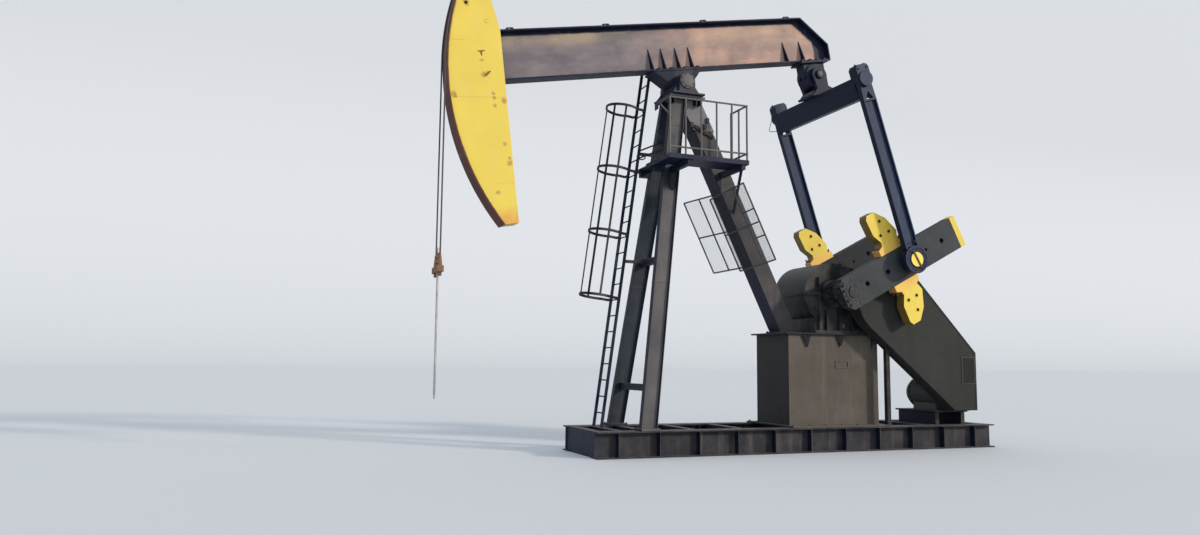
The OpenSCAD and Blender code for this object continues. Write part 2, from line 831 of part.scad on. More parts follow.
module pedestal() {
    color("#7d736b") {
        box([pedestal_x, -pedestal_half_w, base_h + 29],
            [pedestal_rear, pedestal_half_w, pedestal_top - 29]);
        box([pedestal_x - 90, -rail_y - 90, base_h], [pedestal_rear + 90, rail_y + 90, base_h + 30]);
        box(
            [pedestal_x - 90, -pedestal_half_w - 70, pedestal_top - 30],
            [gearbox_rear + 60, pedestal_half_w + 70, pedestal_top]
        );
        for (x = gusset_xs, s = [-1, 1]) on_side(s) translate([x, 0, 0]) rotate([90, 0, 90])
            linear_extrude(height = 20) polygon([
                [-pedestal_half_w - 60, pedestal_top - 29], [-pedestal_half_w + 1, pedestal_top - 29],
                [-pedestal_half_w + 1, pedestal_top - 300]
            ]);
    }
}

module gearbox() {
    bosses = gearbox_half_w + 150;
    color("#1d1f22") difference() {
        union() {
            cross_cyl(gearbox_r, -gearbox_half_w, gearbox_half_w, shaft_x, shaft_h, 96);
            side_plate([
                [gearbox_front, gearbox_foot], [gearbox_rear, gearbox_foot], [gearbox_rear, fast_h + 280],
                [gearbox_rear - 220, fast_h + 460], [shaft_x + 160, shaft_h + gearbox_r - 24],
                [shaft_x, shaft_h], [gearbox_front, shaft_h - 300]
            ], -gearbox_half_w, gearbox_half_w);
            box([gearbox_front - 30, -pedestal_half_w - 40, pedestal_top],
                [gearbox_rear + 30, pedestal_half_w + 40, gearbox_foot + 1]);
            cross_cyl(270, -bosses, bosses, shaft_x, shaft_h);
            cross_cyl(170, -guard_back_y + seat, gearbox_half_w + 60, fast_x, fast_h);
            for (x = [shaft_x - 330, shaft_x + 420, shaft_x + 720], s = [-1, 1]) on_side(s)
                box([x, -gearbox_half_w - 60, gearbox_foot], [x + 30, -gearbox_half_w + 1, shaft_h + 330]);
        }
        cross_cyl(shaft_r + run, -bosses - 1, bosses + 1, shaft_x, shaft_h);
    }
}

guard_up = 45.7;
guard_low = 38.7;
guard_rear = motor_x + 380;
guard_foot = motor_h - 330;

// The guard's underside, a straight line that leaves the round end at a tangent
guard_low_p = [fast_x - guard_r * sin(guard_low), fast_h - guard_r * cos(guard_low)];
guard_up_p = [fast_x + guard_r * sin(guard_up), fast_h + guard_r * cos(guard_up)];
function guard_low_h(x) = guard_low_p[1] - (x - guard_low_p[0]) * tan(guard_low);

module guard_shape(y0, y1) {
    cross_cyl(guard_r, y0, y1, fast_x, fast_h, 96);
    side_plate([
        guard_low_p,
        [guard_low_p[0] + (guard_low_p[1] - guard_foot) / tan(guard_low), guard_foot],
        [guard_rear, guard_foot],
        [guard_rear, guard_up_p[1] - (guard_rear - guard_up_p[0]) * tan(guard_up)],
        guard_up_p
    ], y0, y1);
}

module belt_guard() {
    color("#3f4041") guard_shape(-guard_face_y, -guard_back_y);
}

module guard_posts() {
    y = guard_face_y - guard_t / 2;
    color("#26272a") difference() {
        box([pedestal_rear - 10, -y - 45, base_h + 30], [pedestal_rear + 80, -y + 45, fast_h - 500]);
        box([guard_rear - 165, -y - 45, base_h], [guard_rear - 75, -y + 45, guard_foot + 10]);
        guard_shape(-guard_face_y - 1, -guard_back_y + 1);
    }
}

motor_front = -guard_back_y + seat;
stand_top = motor_h - motor_r - 60;
stand_rear = motor_front + motor_l + 310;

module motor() {
    body_front = motor_front + 60;
    body_rear = body_front + motor_l;
    color("#4a5450") {
        cross_cyl(motor_r, body_front, body_rear, motor_x, motor_h);
        cross_cyl(40, motor_front, body_front + 1, motor_x, motor_h);
        cross_cyl(motor_r - 30, body_rear - 1, body_rear + 90, motor_x, motor_h);
        box([motor_x - 260, body_front + 120, stand_top], [motor_x + 260, body_rear - 120, motor_h - 200]);
        box(
            [motor_x - 130, body_front + 300, motor_h],
            [motor_x + 130, body_front + 600, motor_h + motor_r + 110]
        );
    }
}

module motor_stand() {
    color("#3b3c3f") {
        box(
            [motor_x - stand_l / 2, motor_front + 30, stand_top - 30],
            [motor_x + stand_l / 2, stand_rear, stand_top]
        );
        for (s = [-1, 1]) translate([motor_x + s * (stand_l / 2 - 100), 0, 0])
            box([-50, motor_front + 60, base_h], [50, stand_rear - 40, stand_top - 29]);
    }
}

// Platform, handrail, ladder and cage
module platform_floor() {
    under = floor_h - floor_t;
    leg_y = front_leg_y(under - bracket_h / 2);
    color("#4d4a48") {
        box([-floor_front, -floor_near, under], [floor_rear, -floor_in, floor_h]);
        box([-floor_front, -floor_in - 1, under], [-strip_rear, strip_far, floor_h]);
        difference() {
            union() {
                box([-floor_front + 60, -leg_y - 50, under - bracket_h], [-230, -leg_y + 50, under + 1]);
                box([-floor_front + 60, leg_y - 50, under - bracket_h], [-230, leg_y + 50, under + 1]);
            }
            front_leg_block();
            on_side(1) front_leg_block();
            box([-strip_rear, -floor_in + 2, under], [far, far, far]);
        }
        difference() {
            box([-330, -floor_near + 20, under - bracket_h], [-230, -leg_y, under + 1]);
            front_leg_shape();
            box([-strip_rear, -floor_in + 2, under], [far, far, far]);
        }
        difference() {
            union() {
                box(
                    [floor_rear - 140, -floor_near + 20, under - bracket_h],
                    [floor_rear - 60, -rear_leg_half_w, under + 1]
                );
                tube(
                    [floor_rear - 100, -floor_near + 80, under - 40],
                    [rear_leg_x(4550) - 110, -rear_leg_half_w + 20, 4550],
                    28
                );
            }
            rear_leg_shape();
            box([0, -floor_in + 2, under], [far, far, far]);
        }
    }
}

rail_r = 18;

module platform_rail() {
    y = -floor_near + 25;
    x0 = -floor_front + 25;
    x1 = floor_rear - 25;
    top = floor_h + handrail_h;
    low = floor_h + 160;
    color("#8b8780") {
        for (x = [x0:(x1 - x0) / 5:x1]) tube([x, y, floor_h], [x, y, top], rail_r);
        for (z = [low, top]) {
            tube([x0 - rail_r, y, z], [x1 + rail_r, y, z], rail_r);
            tube([x1, y, z], [x1, -floor_in - 20, z], rail_r);
        }
        for (end_y = [(y - floor_in - 20) / 2, -floor_in - 20])
            tube([x1, end_y, floor_h], [x1, end_y, top + rail_r], rail_r);
        tube([x0, y, top], [x0, y + 460, top], rail_r);
        difference() {
            tube([x0 - 8, y + 445, top], [front_leg_x(top) - 60, -230, top - 130], rail_r);
            front_leg_block();
        }
    }
}

ladder_len = ladder_top / cos(ladder_lean);
rail_half = ladder_w / 2;

ladder_rail_t = 24;
ladder_in = rail_half - ladder_rail_t / 2;
ladder_out = rail_half + ladder_rail_t / 2;

module ladder_rails() {
    color("#2f333c") intersection() {
        ladder_frame() for (e = [[-ladder_out, -ladder_in], [ladder_in, ladder_out]])
            box([-ladder_rail_d / 2, e[0], 0], [ladder_rail_d / 2, e[1], ladder_len]);
        box([-far, -far, base_h], [far, far, ladder_top]);
    }
}

module ladder_rungs() {
    rungs = floor((ladder_top - base_h - 200) / cos(ladder_lean) / rung_pitch);
    color("#2f333c") ladder_frame() for (i = [0:rungs])
        translate([0, -ladder_in, base_h + 260 + i * rung_pitch]) rotate([-90, 0, 0])
            cylinder(r = 13, h = 2 * ladder_in, $fn = tube_fn);
}

hoop_hs = [2810, 4030, 5250, 6470];
cage_angles = [100, 140, 180, 220, 260];

module ladder_cage() {
    gap = 34;
    strip_l = (hoop_hs[3] - hoop_hs[0]) / cos(ladder_lean) + 50;
    color("#3a3e47") ladder_frame() {
        for (h = hoop_hs) translate([-hoop_r - gap, 0, h / cos(ladder_lean)]) {
            difference() {
                cylinder(r = hoop_r, h = 50, $fn = round_fn);
                translate([0, 0, -1]) cylinder(r = hoop_r - 10, h = 52, $fn = round_fn);
                box([hoop_r * 0.6, -far, -1], [far, far, 51]);
            }
            for (s = [-1, 1]) side_arm(s, gap);
        }
        for (a = cage_angles)
            translate([-hoop_r - gap, 0, hoop_hs[0] / cos(ladder_lean)]) rotate([0, 0, a])
                box([hoop_r - 19, -20, 0], [hoop_r - 9, 20, strip_l]);
    }
}

// The end of a hoop, bent round to the face of the ladder's rail
module side_arm(s, gap) {
    y = hoop_r * 0.8;
    x = hoop_r * 0.6;
    side_len = hoop_r + gap - 30 - seat - x + 12;
    mirror([0, s > 0 ? 0 : 1, 0]) {
        box([x - 12, y - 10, 0], [x - 12 + side_len, y, 50]);
        box([x - 22 + side_len, rail_half - 12, 0], [x - 12 + side_len, y, 50]);
    }
}

// Screens: tube frames that carry a mesh, fixed to the rear leg near its front face
screen_r = 16;
screen_slope = 0.08;

// A point on a screen: y across the leg, z up it, ahead of its front face
function screen_point(y, z, ahead) = let (h = z - screen_slope * y)
    [rear_leg_x(h) - rear_leg_t / 2 / cos(rear_lean) - ahead, y, h];

// inner and outer are [y, distance ahead] of the screen's two ends
module screen(inner, outer, low, high, uprights, ties = []) {
    at = function(t, z) let (e = inner + t * (outer - inner)) screen_point(e[0], z, e[1]);
    difference() {
        union() {
            for (t = uprights) tube(at(t, low), at(t, high), screen_r);
            for (z = [low, (low + high) / 2, high]) tube(at(0, z), at(1, z), screen_r);
            for (z = ties) tube(at(uprights[1], z), at(1, z), screen_r);
        }
        rear_leg_shape();
    }
}

module leg_screen_near() {
    color("#5b5d61") screen([280, 20], [-1000, -40], 3505, 4900, [0, 0.69, 1], [3960, 4440]);
}

module leg_screen_far() {
    color("#5b5d61") screen([rear_leg_half_w - 10, -62], [950, 250], 3570, 4975, [0.5, 1]);
}

rail_near();
rail_far();
cross_members();
front_leg_near();
front_leg_far();
rear_leg();
leg_braces();
post_head();
saddle_block();
platform_floor();
platform_rail();
ladder_rails();
ladder_rungs();
ladder_cage();
leg_screen_near();
leg_screen_far();
pedestal();
gearbox();
belt_guard();
guard_posts();
motor();
motor_stand();
walking_beam();
beam_stiffeners();
saddle_housing();
equalizer_bearing();
horsehead_sides();
horsehead_rim();
horsehead_back();
wireline_wrap();
equalizer_yoke();
equalizer_shaft();
pitman_near();
pitman_far();
wrist_bearings();
crankshaft();
crank_near();
crank_far();
weight_near_upper();
weight_near_lower();
weight_far_upper();
weight_far_lower();
wireline_drop();
carrier_bar();
polished_rod();
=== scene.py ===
"""Looks of the pumpjack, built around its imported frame. Metres, row frame."""

from math import acos, atan2, copysign, cos, hypot, pi, radians, sin, sqrt, tan

import bmesh
import bpy
from mathutils import Matrix, Vector


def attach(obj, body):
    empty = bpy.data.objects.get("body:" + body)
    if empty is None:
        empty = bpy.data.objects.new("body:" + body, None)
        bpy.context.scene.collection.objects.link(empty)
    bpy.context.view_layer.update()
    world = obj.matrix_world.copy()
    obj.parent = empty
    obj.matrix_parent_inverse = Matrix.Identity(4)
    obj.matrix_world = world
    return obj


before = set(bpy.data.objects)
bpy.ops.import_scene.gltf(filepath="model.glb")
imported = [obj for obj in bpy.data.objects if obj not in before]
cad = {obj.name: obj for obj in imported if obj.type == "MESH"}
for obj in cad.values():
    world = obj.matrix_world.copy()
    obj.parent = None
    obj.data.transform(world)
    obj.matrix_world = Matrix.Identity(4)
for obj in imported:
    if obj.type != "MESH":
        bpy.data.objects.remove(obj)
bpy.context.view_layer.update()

# Main sizes, as in the part's source
PIVOT_H, REAR_ARM, PITMAN_L, CRANK_R = 6.99, 3.16, 4.1, 1.425
SHAFT_X, SHAFT_H, CRANK_A = 3.1, 3.02, radians(27.3)
HEAD_R = 4.56
BEAM_GAP, BEAM_TOP, BEAM_W, FLANGE_T = 0.315, 1.245, 0.3, 0.03
CRANK_FACE, CRANK_T, CRANK_HALF, CRANK_HUB, WEIGHT_X = 1.04, 0.2, 0.32, 0.24, 1.22
PITMAN_Y, PITMAN_D, YOKE_DROP, WRIST_FACE = 1.45, 0.12, 0.4, 1.53
LEG_X, LEG_Y, LEG_TOP = -0.95, 0.77, 6.7
POST_TOP, BASE_H, RAIL_Y, FLOOR_H = 6.74, 0.46, 0.76, 5.35
REAR_LEAN, REAR_LEG_X = radians(25.9), 2.345
PEDESTAL_X, PEDESTAL_REAR, PEDESTAL_HALF, PEDESTAL_TOP = 2.07, 4.14, 0.58, 2.25
# The belt guard's round end, rear edge and foot
GUARD_X, GUARD_Z, GUARD_R = 4.18, 2.96, 0.77
GUARD_REAR, GUARD_FOOT = 6.28, 0.75
wrist = (SHAFT_X + CRANK_R * cos(CRANK_A), SHAFT_H + CRANK_R * sin(CRANK_A))
reach = hypot(wrist[0], wrist[1] - PIVOT_H)
BEAM_A = atan2(wrist[1] - PIVOT_H, wrist[0]) + acos(
    (REAR_ARM ** 2 + reach ** 2 - PITMAN_L ** 2) / (2 * REAR_ARM * reach))
eq = (REAR_ARM * cos(BEAM_A), PIVOT_H + REAR_ARM * sin(BEAM_A))
PITMAN_A = atan2(wrist[0] - eq[0], eq[1] - wrist[1])
SIDES = (-1, 1)  # near and far, or left and right
UP, DOWN = (0, 0, 1), (0, 0, -1)
SHARP = radians(35)  # edges over this angle are drawn sharp and rounded by a bevel
EDGE = 0.006  # round on the solids' edges


def tilted(x, z, angle):
    """A frame at (x, z), turned by angle in the beam's plane."""
    return Matrix.Translation((x, 0, z)) @ Matrix.Rotation(-angle, 4, "Y")


WORLD = Matrix.Identity(4)
BEAM = tilted(0, PIVOT_H, BEAM_A)
CRANK = tilted(SHAFT_X, SHAFT_H, CRANK_A)
FRAMES = {"base": WORLD, "beam": BEAM, "cranks": CRANK, "equalizer": tilted(*eq, PITMAN_A), "hanger": WORLD}


def sides(a, b):
    """Near and far side, each with the low and high y of a slab from a to b out of the beam's plane."""
    for s in SIDES:
        yield (s, *sorted((s * a, s * b)))


def both(x):
    return (-x, x)


def circle(center, side, other, r, n):
    """n points of a circle about center, in the plane of side and other."""
    return [center + (side * cos(a) + other * sin(a)) * r for a in (2 * pi * i / n for i in range(n))]


def link_object(name, data):
    obj = bpy.data.objects.new(name, data)
    bpy.context.scene.collection.objects.link(obj)
    return obj


def link_mesh(name, bm, material):
    mesh = bpy.data.meshes.new(name)
    bm.to_mesh(mesh)
    bm.clear()
    mesh.materials.append(material)
    return link_object(name, mesh)


# Meshes
BOX_FACES = ((3, 2, 1, 0), (4, 5, 6, 7), (0, 1, 5, 4), (1, 2, 6, 5), (2, 3, 7, 6), (3, 0, 4, 7))


class Piece:
    """Geometry of a named piece, drawn in its body's frame, or in at, and stored in the row frame."""

    def __init__(self, body="base", at=None):
        self.bm = bmesh.new()
        self.body = body
        self.at = FRAMES[body] if at is None else at

    def verts(self, points):
        return [self.bm.verts.new(self.at @ Vector(v)) for v in points]

    def solid(self, points, faces):
        made = self.verts(points)
        for f in faces:
            self.bm.faces.new([made[i] for i in f])

    def strip(self, a, b):
        """Faces between two rings, or from a ring to a single tip b."""
        for i, v in enumerate(a):
            j = (i + 1) % len(a)
            self.bm.faces.new((v, a[j], b[0]) if len(b) == 1 else (v, a[j], b[j], b[i]))

    def caps(self, rings):
        """Ends of a row of rings, the last of which may be a tip."""
        self.bm.faces.new(rings[0][::-1])
        if len(rings[-1]) > 1:
            self.bm.faces.new(rings[-1])

    def box(self, low, high):
        x0, y0, z0 = low
        x1, y1, z1 = high
        foot = ((x0, y0), (x1, y0), (x1, y1), (x0, y1))
        self.solid([(x, y, z) for z in (z0, z1) for x, y in foot], BOX_FACES)

    def bar(self, p, q, w, h, up):
        """A rectangular bar from p to q, w wide across up and h high along up."""
        p, q = Vector(p), Vector(q)
        d = (q - p).normalized()
        side = d.cross(Vector(up)).normalized()
        top = side.cross(d)
        self.solid([end + side * (a * w / 2) + top * (b * h / 2)
                    for end in (p, q) for a, b in ((-1, -1), (1, -1), (1, 1), (-1, 1))], BOX_FACES)

    def plate(self, points, y0, y1):
        """An XZ outline, from y0 to y1."""
        n = len(points)
        faces = [tuple(range(n)), tuple(reversed(range(n, 2 * n)))]
        faces += [(i, i + n, (i + 1) % n + n, (i + 1) % n) for i in range(n)]
        self.solid([(x, y, z) for y in (y0, y1) for x, z in points], faces)

    def turned(self, p, axis, profile, n):
        """Rings about axis from p, one per (distance along the axis, radius) of profile."""
        p, d = Vector(p), Vector(axis).normalized()
        side = d.orthogonal().normalized()
        other = d.cross(side)
        return [self.verts(circle(p + d * s, side, other, r, n) if r else [p + d * s]) for s, r in profile]

    def lathe(self, p, axis, profile, n=32):
        """A turned solid. A last radius of 0 closes it with a tip."""
        rings = self.turned(p, axis, profile, n)
        for a, b in zip(rings, rings[1:]):
            self.strip(a, b)
        self.caps(rings)

    def disc(self, x, y, z, r, t, n):
        """A round plate that faces away from the beam's plane."""
        self.lathe((x, y, z), (0, copysign(1, y), 0), [(0, r), (t, r), (t, 0)], n)

    def ring(self, p, axis, r_in, r_out, h, n=28):
        """A flat ring, h high along axis from p."""
        rings = self.turned(p, axis, ((0, r_in), (0, r_out), (h, r_out), (h, r_in)), n)
        for a, b in zip(rings, rings[1:] + rings[:1]):
            self.strip(a, b)

    def bolt(self, p, axis, r, h=None, washer=True):
        """A hexagon head on a washer, standing on the surface at p."""
        h = h or r * 1.1
        base = 0.0
        if washer:
            self.lathe(p, axis, [(-0.002, r * 1.45), (r * 0.22, r * 1.45)], 16)
            base = r * 0.2
        self.lathe(p, axis, [(base, r), (base + h * 0.85, r), (base + h, r * 0.86)], 6)

    def bolt_row(self, xs, y, z, r):
        """Upright bolts along x."""
        for x in xs:
            self.bolt((x, y, z), UP, r)

    def bolt_circle(self, x, y, z, radius, count, r, turn=0.5):
        """Bolts about (x, y, z) that face away from the beam's plane, the first one turn steps on."""
        for i in range(count):
            a = radians(360 / count * (i + turn))
            self.bolt((x + radius * cos(a), y, z + radius * sin(a)), (0, copysign(1, y), 0), r)

    def tube(self, path, r, n=12, closed=False):
        """A round tube along a path of points."""
        pts = [Vector(v) for v in path]
        last = len(pts) - 1
        rings = []
        normal = None
        for i, p in enumerate(pts):
            if closed:
                d = pts[(i + 1) % len(pts)] - pts[i - 1]
            else:
                d = (pts[min(i + 1, last)] - p).normalized() + (p - pts[max(i - 1, 0)]).normalized()
            d.normalize()
            normal = d.orthogonal() if normal is None else normal - d * normal.dot(d)
            normal.normalize()
            rings.append(self.verts(circle(p, normal, d.cross(normal), r, n)))
        for a, b in zip(rings, rings[1:] + rings[:1] if closed else rings[1:]):
            self.strip(a, b)
        if not closed:
            self.caps(rings)

    def done(self, name, look, bevel=0.0):
        """Stores what was drawn as a piece, and starts the next one in the same frame."""
        bmesh.ops.recalc_face_normals(self.bm, faces=self.bm.faces)
        obj = link_mesh(name, self.bm, M[look])
        smooth(obj, bevel)
        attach(obj, self.body)


def modifier(obj, kind, **values):
    m = obj.modifiers.new(kind.lower(), kind)
    for key, value in values.items():
        setattr(m, key, value)


def smooth(obj, bevel=0.0, weld=False):
    """Smooth shading over gentle angles, with a small round on the sharp edges."""
    obj.data.shade_smooth()
    obj.data.set_sharp_from_angle(angle=SHARP)
    if weld:
        modifier(obj, "WELD", merge_threshold=0.0001)
        modifier(obj, "DECIMATE", decimate_type="DISSOLVE", angle_limit=radians(0.4))
    if bevel:
        modifier(obj, "BEVEL", width=bevel, segments=2, limit_method="ANGLE", angle_limit=SHARP)
        modifier(obj, "WEIGHTED_NORMAL", mode="FACE_AREA", weight=100, keep_sharp=False)


# Materials
class Shader:
    """A principled material with a few short words for the nodes that it needs."""

    def __init__(self, name):
        self.material = bpy.data.materials.new(name)
        self.material.use_nodes = True
        self.tree = self.material.node_tree
        self.tree.nodes.clear()
        out = self.tree.nodes.new("ShaderNodeOutputMaterial")
        self.bsdf = self.tree.nodes.new("ShaderNodeBsdfPrincipled")
        self.tree.links.new(self.bsdf.outputs[0], out.inputs[0])
        coord = self.tree.nodes.new("ShaderNodeTexCoord")
        self.pos = coord.outputs["Object"]
        self.normal = coord.outputs["Normal"]

    def link(self, value, socket):
        """Feeds a socket by another node, a value, or the three numbers of a colour."""
        if isinstance(value, bpy.types.NodeSocket):
            self.tree.links.new(value, socket)
        else:
            socket.default_value = (*value, 1.0) if socket.type == "RGBA" else value

    def node(self, kind, inputs, **settings):
        """The outputs of a new node, with inputs by name or number."""
        n = self.tree.nodes.new("ShaderNode" + kind)
        for key, value in settings.items():
            setattr(n, key, value)
        for key, value in inputs.items():
            self.link(value, n.inputs[key])
        return n.outputs

    def math(self, op, *values, clamp=False):
        return self.node("Math", dict(enumerate(values)), operation=op, use_clamp=clamp)[0]

    def add(self, a, b):
        return self.math("ADD", a, b)

    def abs(self, a):
        return self.math("ABSOLUTE", a)

    def times(self, *values):
        last = values[0]
        for v in values[1:]:
            last = self.math("MULTIPLY", last, v)
        return last

    def sep(self, vector):
        return self.node("SeparateXYZ", {0: vector})

    def place(self, matrix, scale=None):
        """Coordinates in a frame of matrix, scaled per axis."""
        inv = matrix.inverted()
        spot = self.node("Mapping", {"Vector": self.pos, "Location": inv.to_translation(),
                                     "Rotation": inv.to_euler()}, vector_type="POINT")[0]
        return self.scaled(scale, spot) if scale else spot

    def scaled(self, scale, vector=None):
        return self.node("VectorMath", {0: vector or self.pos, 1: scale}, operation="MULTIPLY")[0]

    def noise(self, scale, detail=4.0, rough=0.55, vector=None):
        return self.node("TexNoise", {"Vector": vector or self.pos, "Scale": scale, "Detail": detail,
                                      "Roughness": rough})[0]

    def span(self, value, zero, one):
        """0 at zero and beyond it, 1 at one and beyond it, and a smooth ramp between."""
        return self.node("MapRange", {"Value": value, "From Min": zero, "From Max": one},
                         interpolation_type="SMOOTHSTEP")[0]

    def spots(self, low, high, *noise):
        """Patches where a noise is over low, full from high up."""
        return self.span(self.noise(*noise), low, high)

    def wobble(self, amount, *noise):
        """Noise about zero, amount high in all."""
        return self.times(self.math("SUBTRACT", self.noise(*noise), 0.5), amount)

    def distance(self, x, z, spot):
        """How far (x, z) is from the spot."""
        dx = self.math("SUBTRACT", x, spot[0])
        dz = self.math("SUBTRACT", z, spot[1])
        return self.math("SQRT", self.add(self.times(dx, dx), self.times(dz, dz)))

    def mix(self, fac, a, b):
        return self.node("Mix", {"Factor": fac, "A": a, "B": b}, data_type="RGBA")["Result"]

    def over(self, color, coat, *amounts):
        """color under a coat, as strong as the product of the amounts."""
        return self.mix(self.times(*amounts), color, coat)

    def finish(self, color, rough, metal=0.0, bump=(), spec=0.5):
        """The material, with bumps as (height, distance)."""
        for name, value in (("Base Color", color), ("Roughness", rough), ("Metallic", metal),
                            ("Specular IOR Level", spec)):
            self.link(value, self.bsdf.inputs[name])
        below = {}
        for height, distance in bump:
            inputs = {"Strength": 1.0, "Distance": distance, "Height": height, **below}
            below = {"Normal": self.node("Bump", inputs)[0]}
        for name, value in below.items():
            self.link(value, self.bsdf.inputs[name])
        return self.material


def painted(name, base, shade, dust, dust_amount, rust_amount, rough=0.5, streak=0.3, front=None, spec=0.14,
            extra=None):
    """Weathered paint: two tones, dust, rust spots and faint runs down the sides.

    front is a painted shade for what faces forward or down; extra adds one part's own marks.
    """
    s = Shader(name)
    fine = s.noise(14.0, 4.0, 0.6)
    color = s.mix(s.spots(0.35, 0.68, 0.9, 5.0, 0.6), base, shade)
    if streak:
        runs = s.spots(0.5, 0.74, 5.0, 4.0, 0.6, s.scaled((1.0, 1.0, 0.09)))
        color = s.over(color, dust, runs, streak)
    nx, ny, nz = s.sep(s.normal)
    flat = s.times(s.span(nz, 0.25, 0.95), 0.9)
    patch = s.times(s.spots(0.42, 0.7, 3.1, 5.0, 0.65), 0.35)
    settle = s.times(s.math("MAXIMUM", flat, patch), dust_amount)
    color = s.mix(settle, color, dust)
    # Painted shade: faces that look forward, away from the key light, or down are darkened to the front tone
    if front:
        color = s.over(color, front, s.span(nx, -0.35, -0.75), 0.9)
        color = s.over(color, front, s.span(nz, -0.5, -0.9), 0.8)
    spots = s.noise(7.5, 8.0, 0.68)
    where = s.spots(0.45, 0.65, 0.7, 2.0, 0.5)
    t = 0.78 - 0.16 * rust_amount
    rust = s.times(s.span(spots, t - 0.02, t + 0.03), where)
    color = s.over(color, (0.2, 0.115, 0.065), s.span(spots, t - 0.1, t), where, 0.5)
    color = s.mix(rust, color, s.mix(fine, (0.16, 0.065, 0.03), (0.3, 0.14, 0.06)))
    roughness = s.add(s.times(fine, 0.14), rough - 0.07)
    roughness = s.math("ADD", roughness, s.times(s.math("MAXIMUM", settle, rust), 0.28), clamp=True)
    if extra:
        color = extra(s, color, fine)
    return s.finish(color, roughness, 0.0,
                    [(s.noise(38.0, 4.0, 0.6), 0.001), (rust, 0.0008), (s.noise(2.2, 2.0, 0.5), 0.002)], spec)


NAVY = (0.0055, 0.0095, 0.026)
NAVY_WORN = (0.012, 0.017, 0.038)
GREY = (0.028, 0.028, 0.032)
GREY_WORN = (0.098, 0.091, 0.094)
DUST = (0.17, 0.145, 0.125)
YELLOW = (0.69, 0.525, 0.078)


def web_dust_and_painted_light(s, color, fine):
    """The beam's web: a brown coat of dust between dark flanges, warmest behind the saddle, with painted
    shadows and a painted highlight.
    """
    x, y, z = s.sep(s.place(BEAM))
    edge = s.wobble(0.1, 4.0, 4.0, 0.6)
    # Painted shadow: the coat stops short of the top flange, which leaves a dark band where the flange's
    # shadow falls on the web
    top = s.span(s.add(z, s.times(edge, 0.4)), BEAM_TOP - 0.075, BEAM_TOP - 0.115)
    inner = s.times(s.span(z, BEAM_GAP + 0.028, BEAM_GAP + 0.034), top)
    side = s.span(s.abs(y), 0.03, 0.02)
    cloud = s.spots(0.3, 0.72, 1.6, 5.0, 0.62, s.place(BEAM, (0.6, 1.0, 1.4)))
    coat = s.mix(cloud, (0.128, 0.108, 0.122), (0.225, 0.195, 0.19))
    to_tail = s.span(x, -1.1, 1.3)
    coat = s.over(coat, s.mix(cloud, (0.31, 0.205, 0.165), (0.5, 0.335, 0.255)), to_tail, 0.8)
    pink = s.times(s.spots(0.44, 0.64, 1.9, 4.0, 0.6, s.place(BEAM, (0.5, 1.0, 1.0))), to_tail)
    coat = s.over(coat, (0.66, 0.36, 0.25), pink, 0.5)
    # Painted highlight: a warm yellow sheen in patches on the upper web
    high = s.times(s.span(z, 0.8, 1.15), s.spots(0.42, 0.62, 1.3, 3.0, 0.5, s.place(BEAM, (0.35, 1.0, 1.0))))
    coat = s.over(coat, (0.6, 0.44, 0.24), high, 0.45)
    smudge = s.spots(0.55, 0.75, 2.0, 4.0, 0.6, s.place(BEAM, (1.2, 1.0, 0.5)))
    coat = s.over(coat, (0.1, 0.085, 0.078), smudge, 0.3)
    # Painted shadow: the coat is cleared from the tail's cut corner and end, where the end plate's shadow
    # falls on the web
    slope = s.add(s.add(s.times(x, 0.712), s.times(z, 0.702)), edge)
    clear = s.times(s.span(slope, 2.9, 2.84), s.span(s.add(x, edge), 3.32, 3.27))
    return s.over(color, coat, inner, side, clear, 0.94)


def head_marks(s, color, fine):
    """Rust that creeps in from the horsehead's rim and tip, with thin runs and scuffs."""
    x, y, z = s.sep(s.place(BEAM))
    r = s.distance(x, z, (0.0, 0.0))
    wob = s.wobble(0.16, 5.0, 6.0, 0.7)
    edge = s.span(s.add(r, s.times(wob, 0.3)), HEAD_R - 0.045, HEAD_R - 0.032)
    color = s.over(color, s.mix(fine, (0.2, 0.1, 0.04), (0.4, 0.22, 0.06)), edge, 0.8)
    low = s.span(s.add(z, s.times(wob, 2.4)), -1.92, -2.22)
    color = s.over(color, s.mix(fine, (0.5, 0.22, 0.06), (0.72, 0.38, 0.08)), low, 0.8)
    stain = s.spots(0.58, 0.8, 1.3, 6.0, 0.7, s.place(BEAM, (1.0, 1.0, 0.5)))
    color = s.over(color, (0.6, 0.43, 0.1), stain, 0.3)
    scuff = s.spots(0.66, 0.72, 9.0, 6.0, 0.75, s.place(BEAM, (1.6, 1.0, 0.6)))
    color = s.over(color, (0.42, 0.23, 0.08), scuff, 0.6)
    spots = ((-4.477, 0.12, 0.075), (-4.46, 0.08, 0.05), (-3.75, 0.0, 0.05), (-3.76, 0.09, 0.045),
             (-3.765, -0.14, 0.05), (-3.584, -0.06, 0.075), (-3.66, -1.18, 0.075), (-3.66, -1.1, 0.04),
             (-3.7, -0.84, 0.05), (-3.97, -1.69, 0.06), (-3.871, 0.43, 0.07), (-3.82, 0.45, 0.06),
             (-3.989, 1.75, 0.085), (-3.87, 0.7, 0.04))
    grain = s.wobble(0.16, 16.0, 6.0, 0.75)
    for spot in spots:
        ink = s.span(s.add(s.distance(x, z, spot), grain), spot[2], spot[2] * 0.35)
        color = s.over(color, s.mix(fine, (0.24, 0.11, 0.04), (0.46, 0.27, 0.07)), ink, 0.75)
    return color


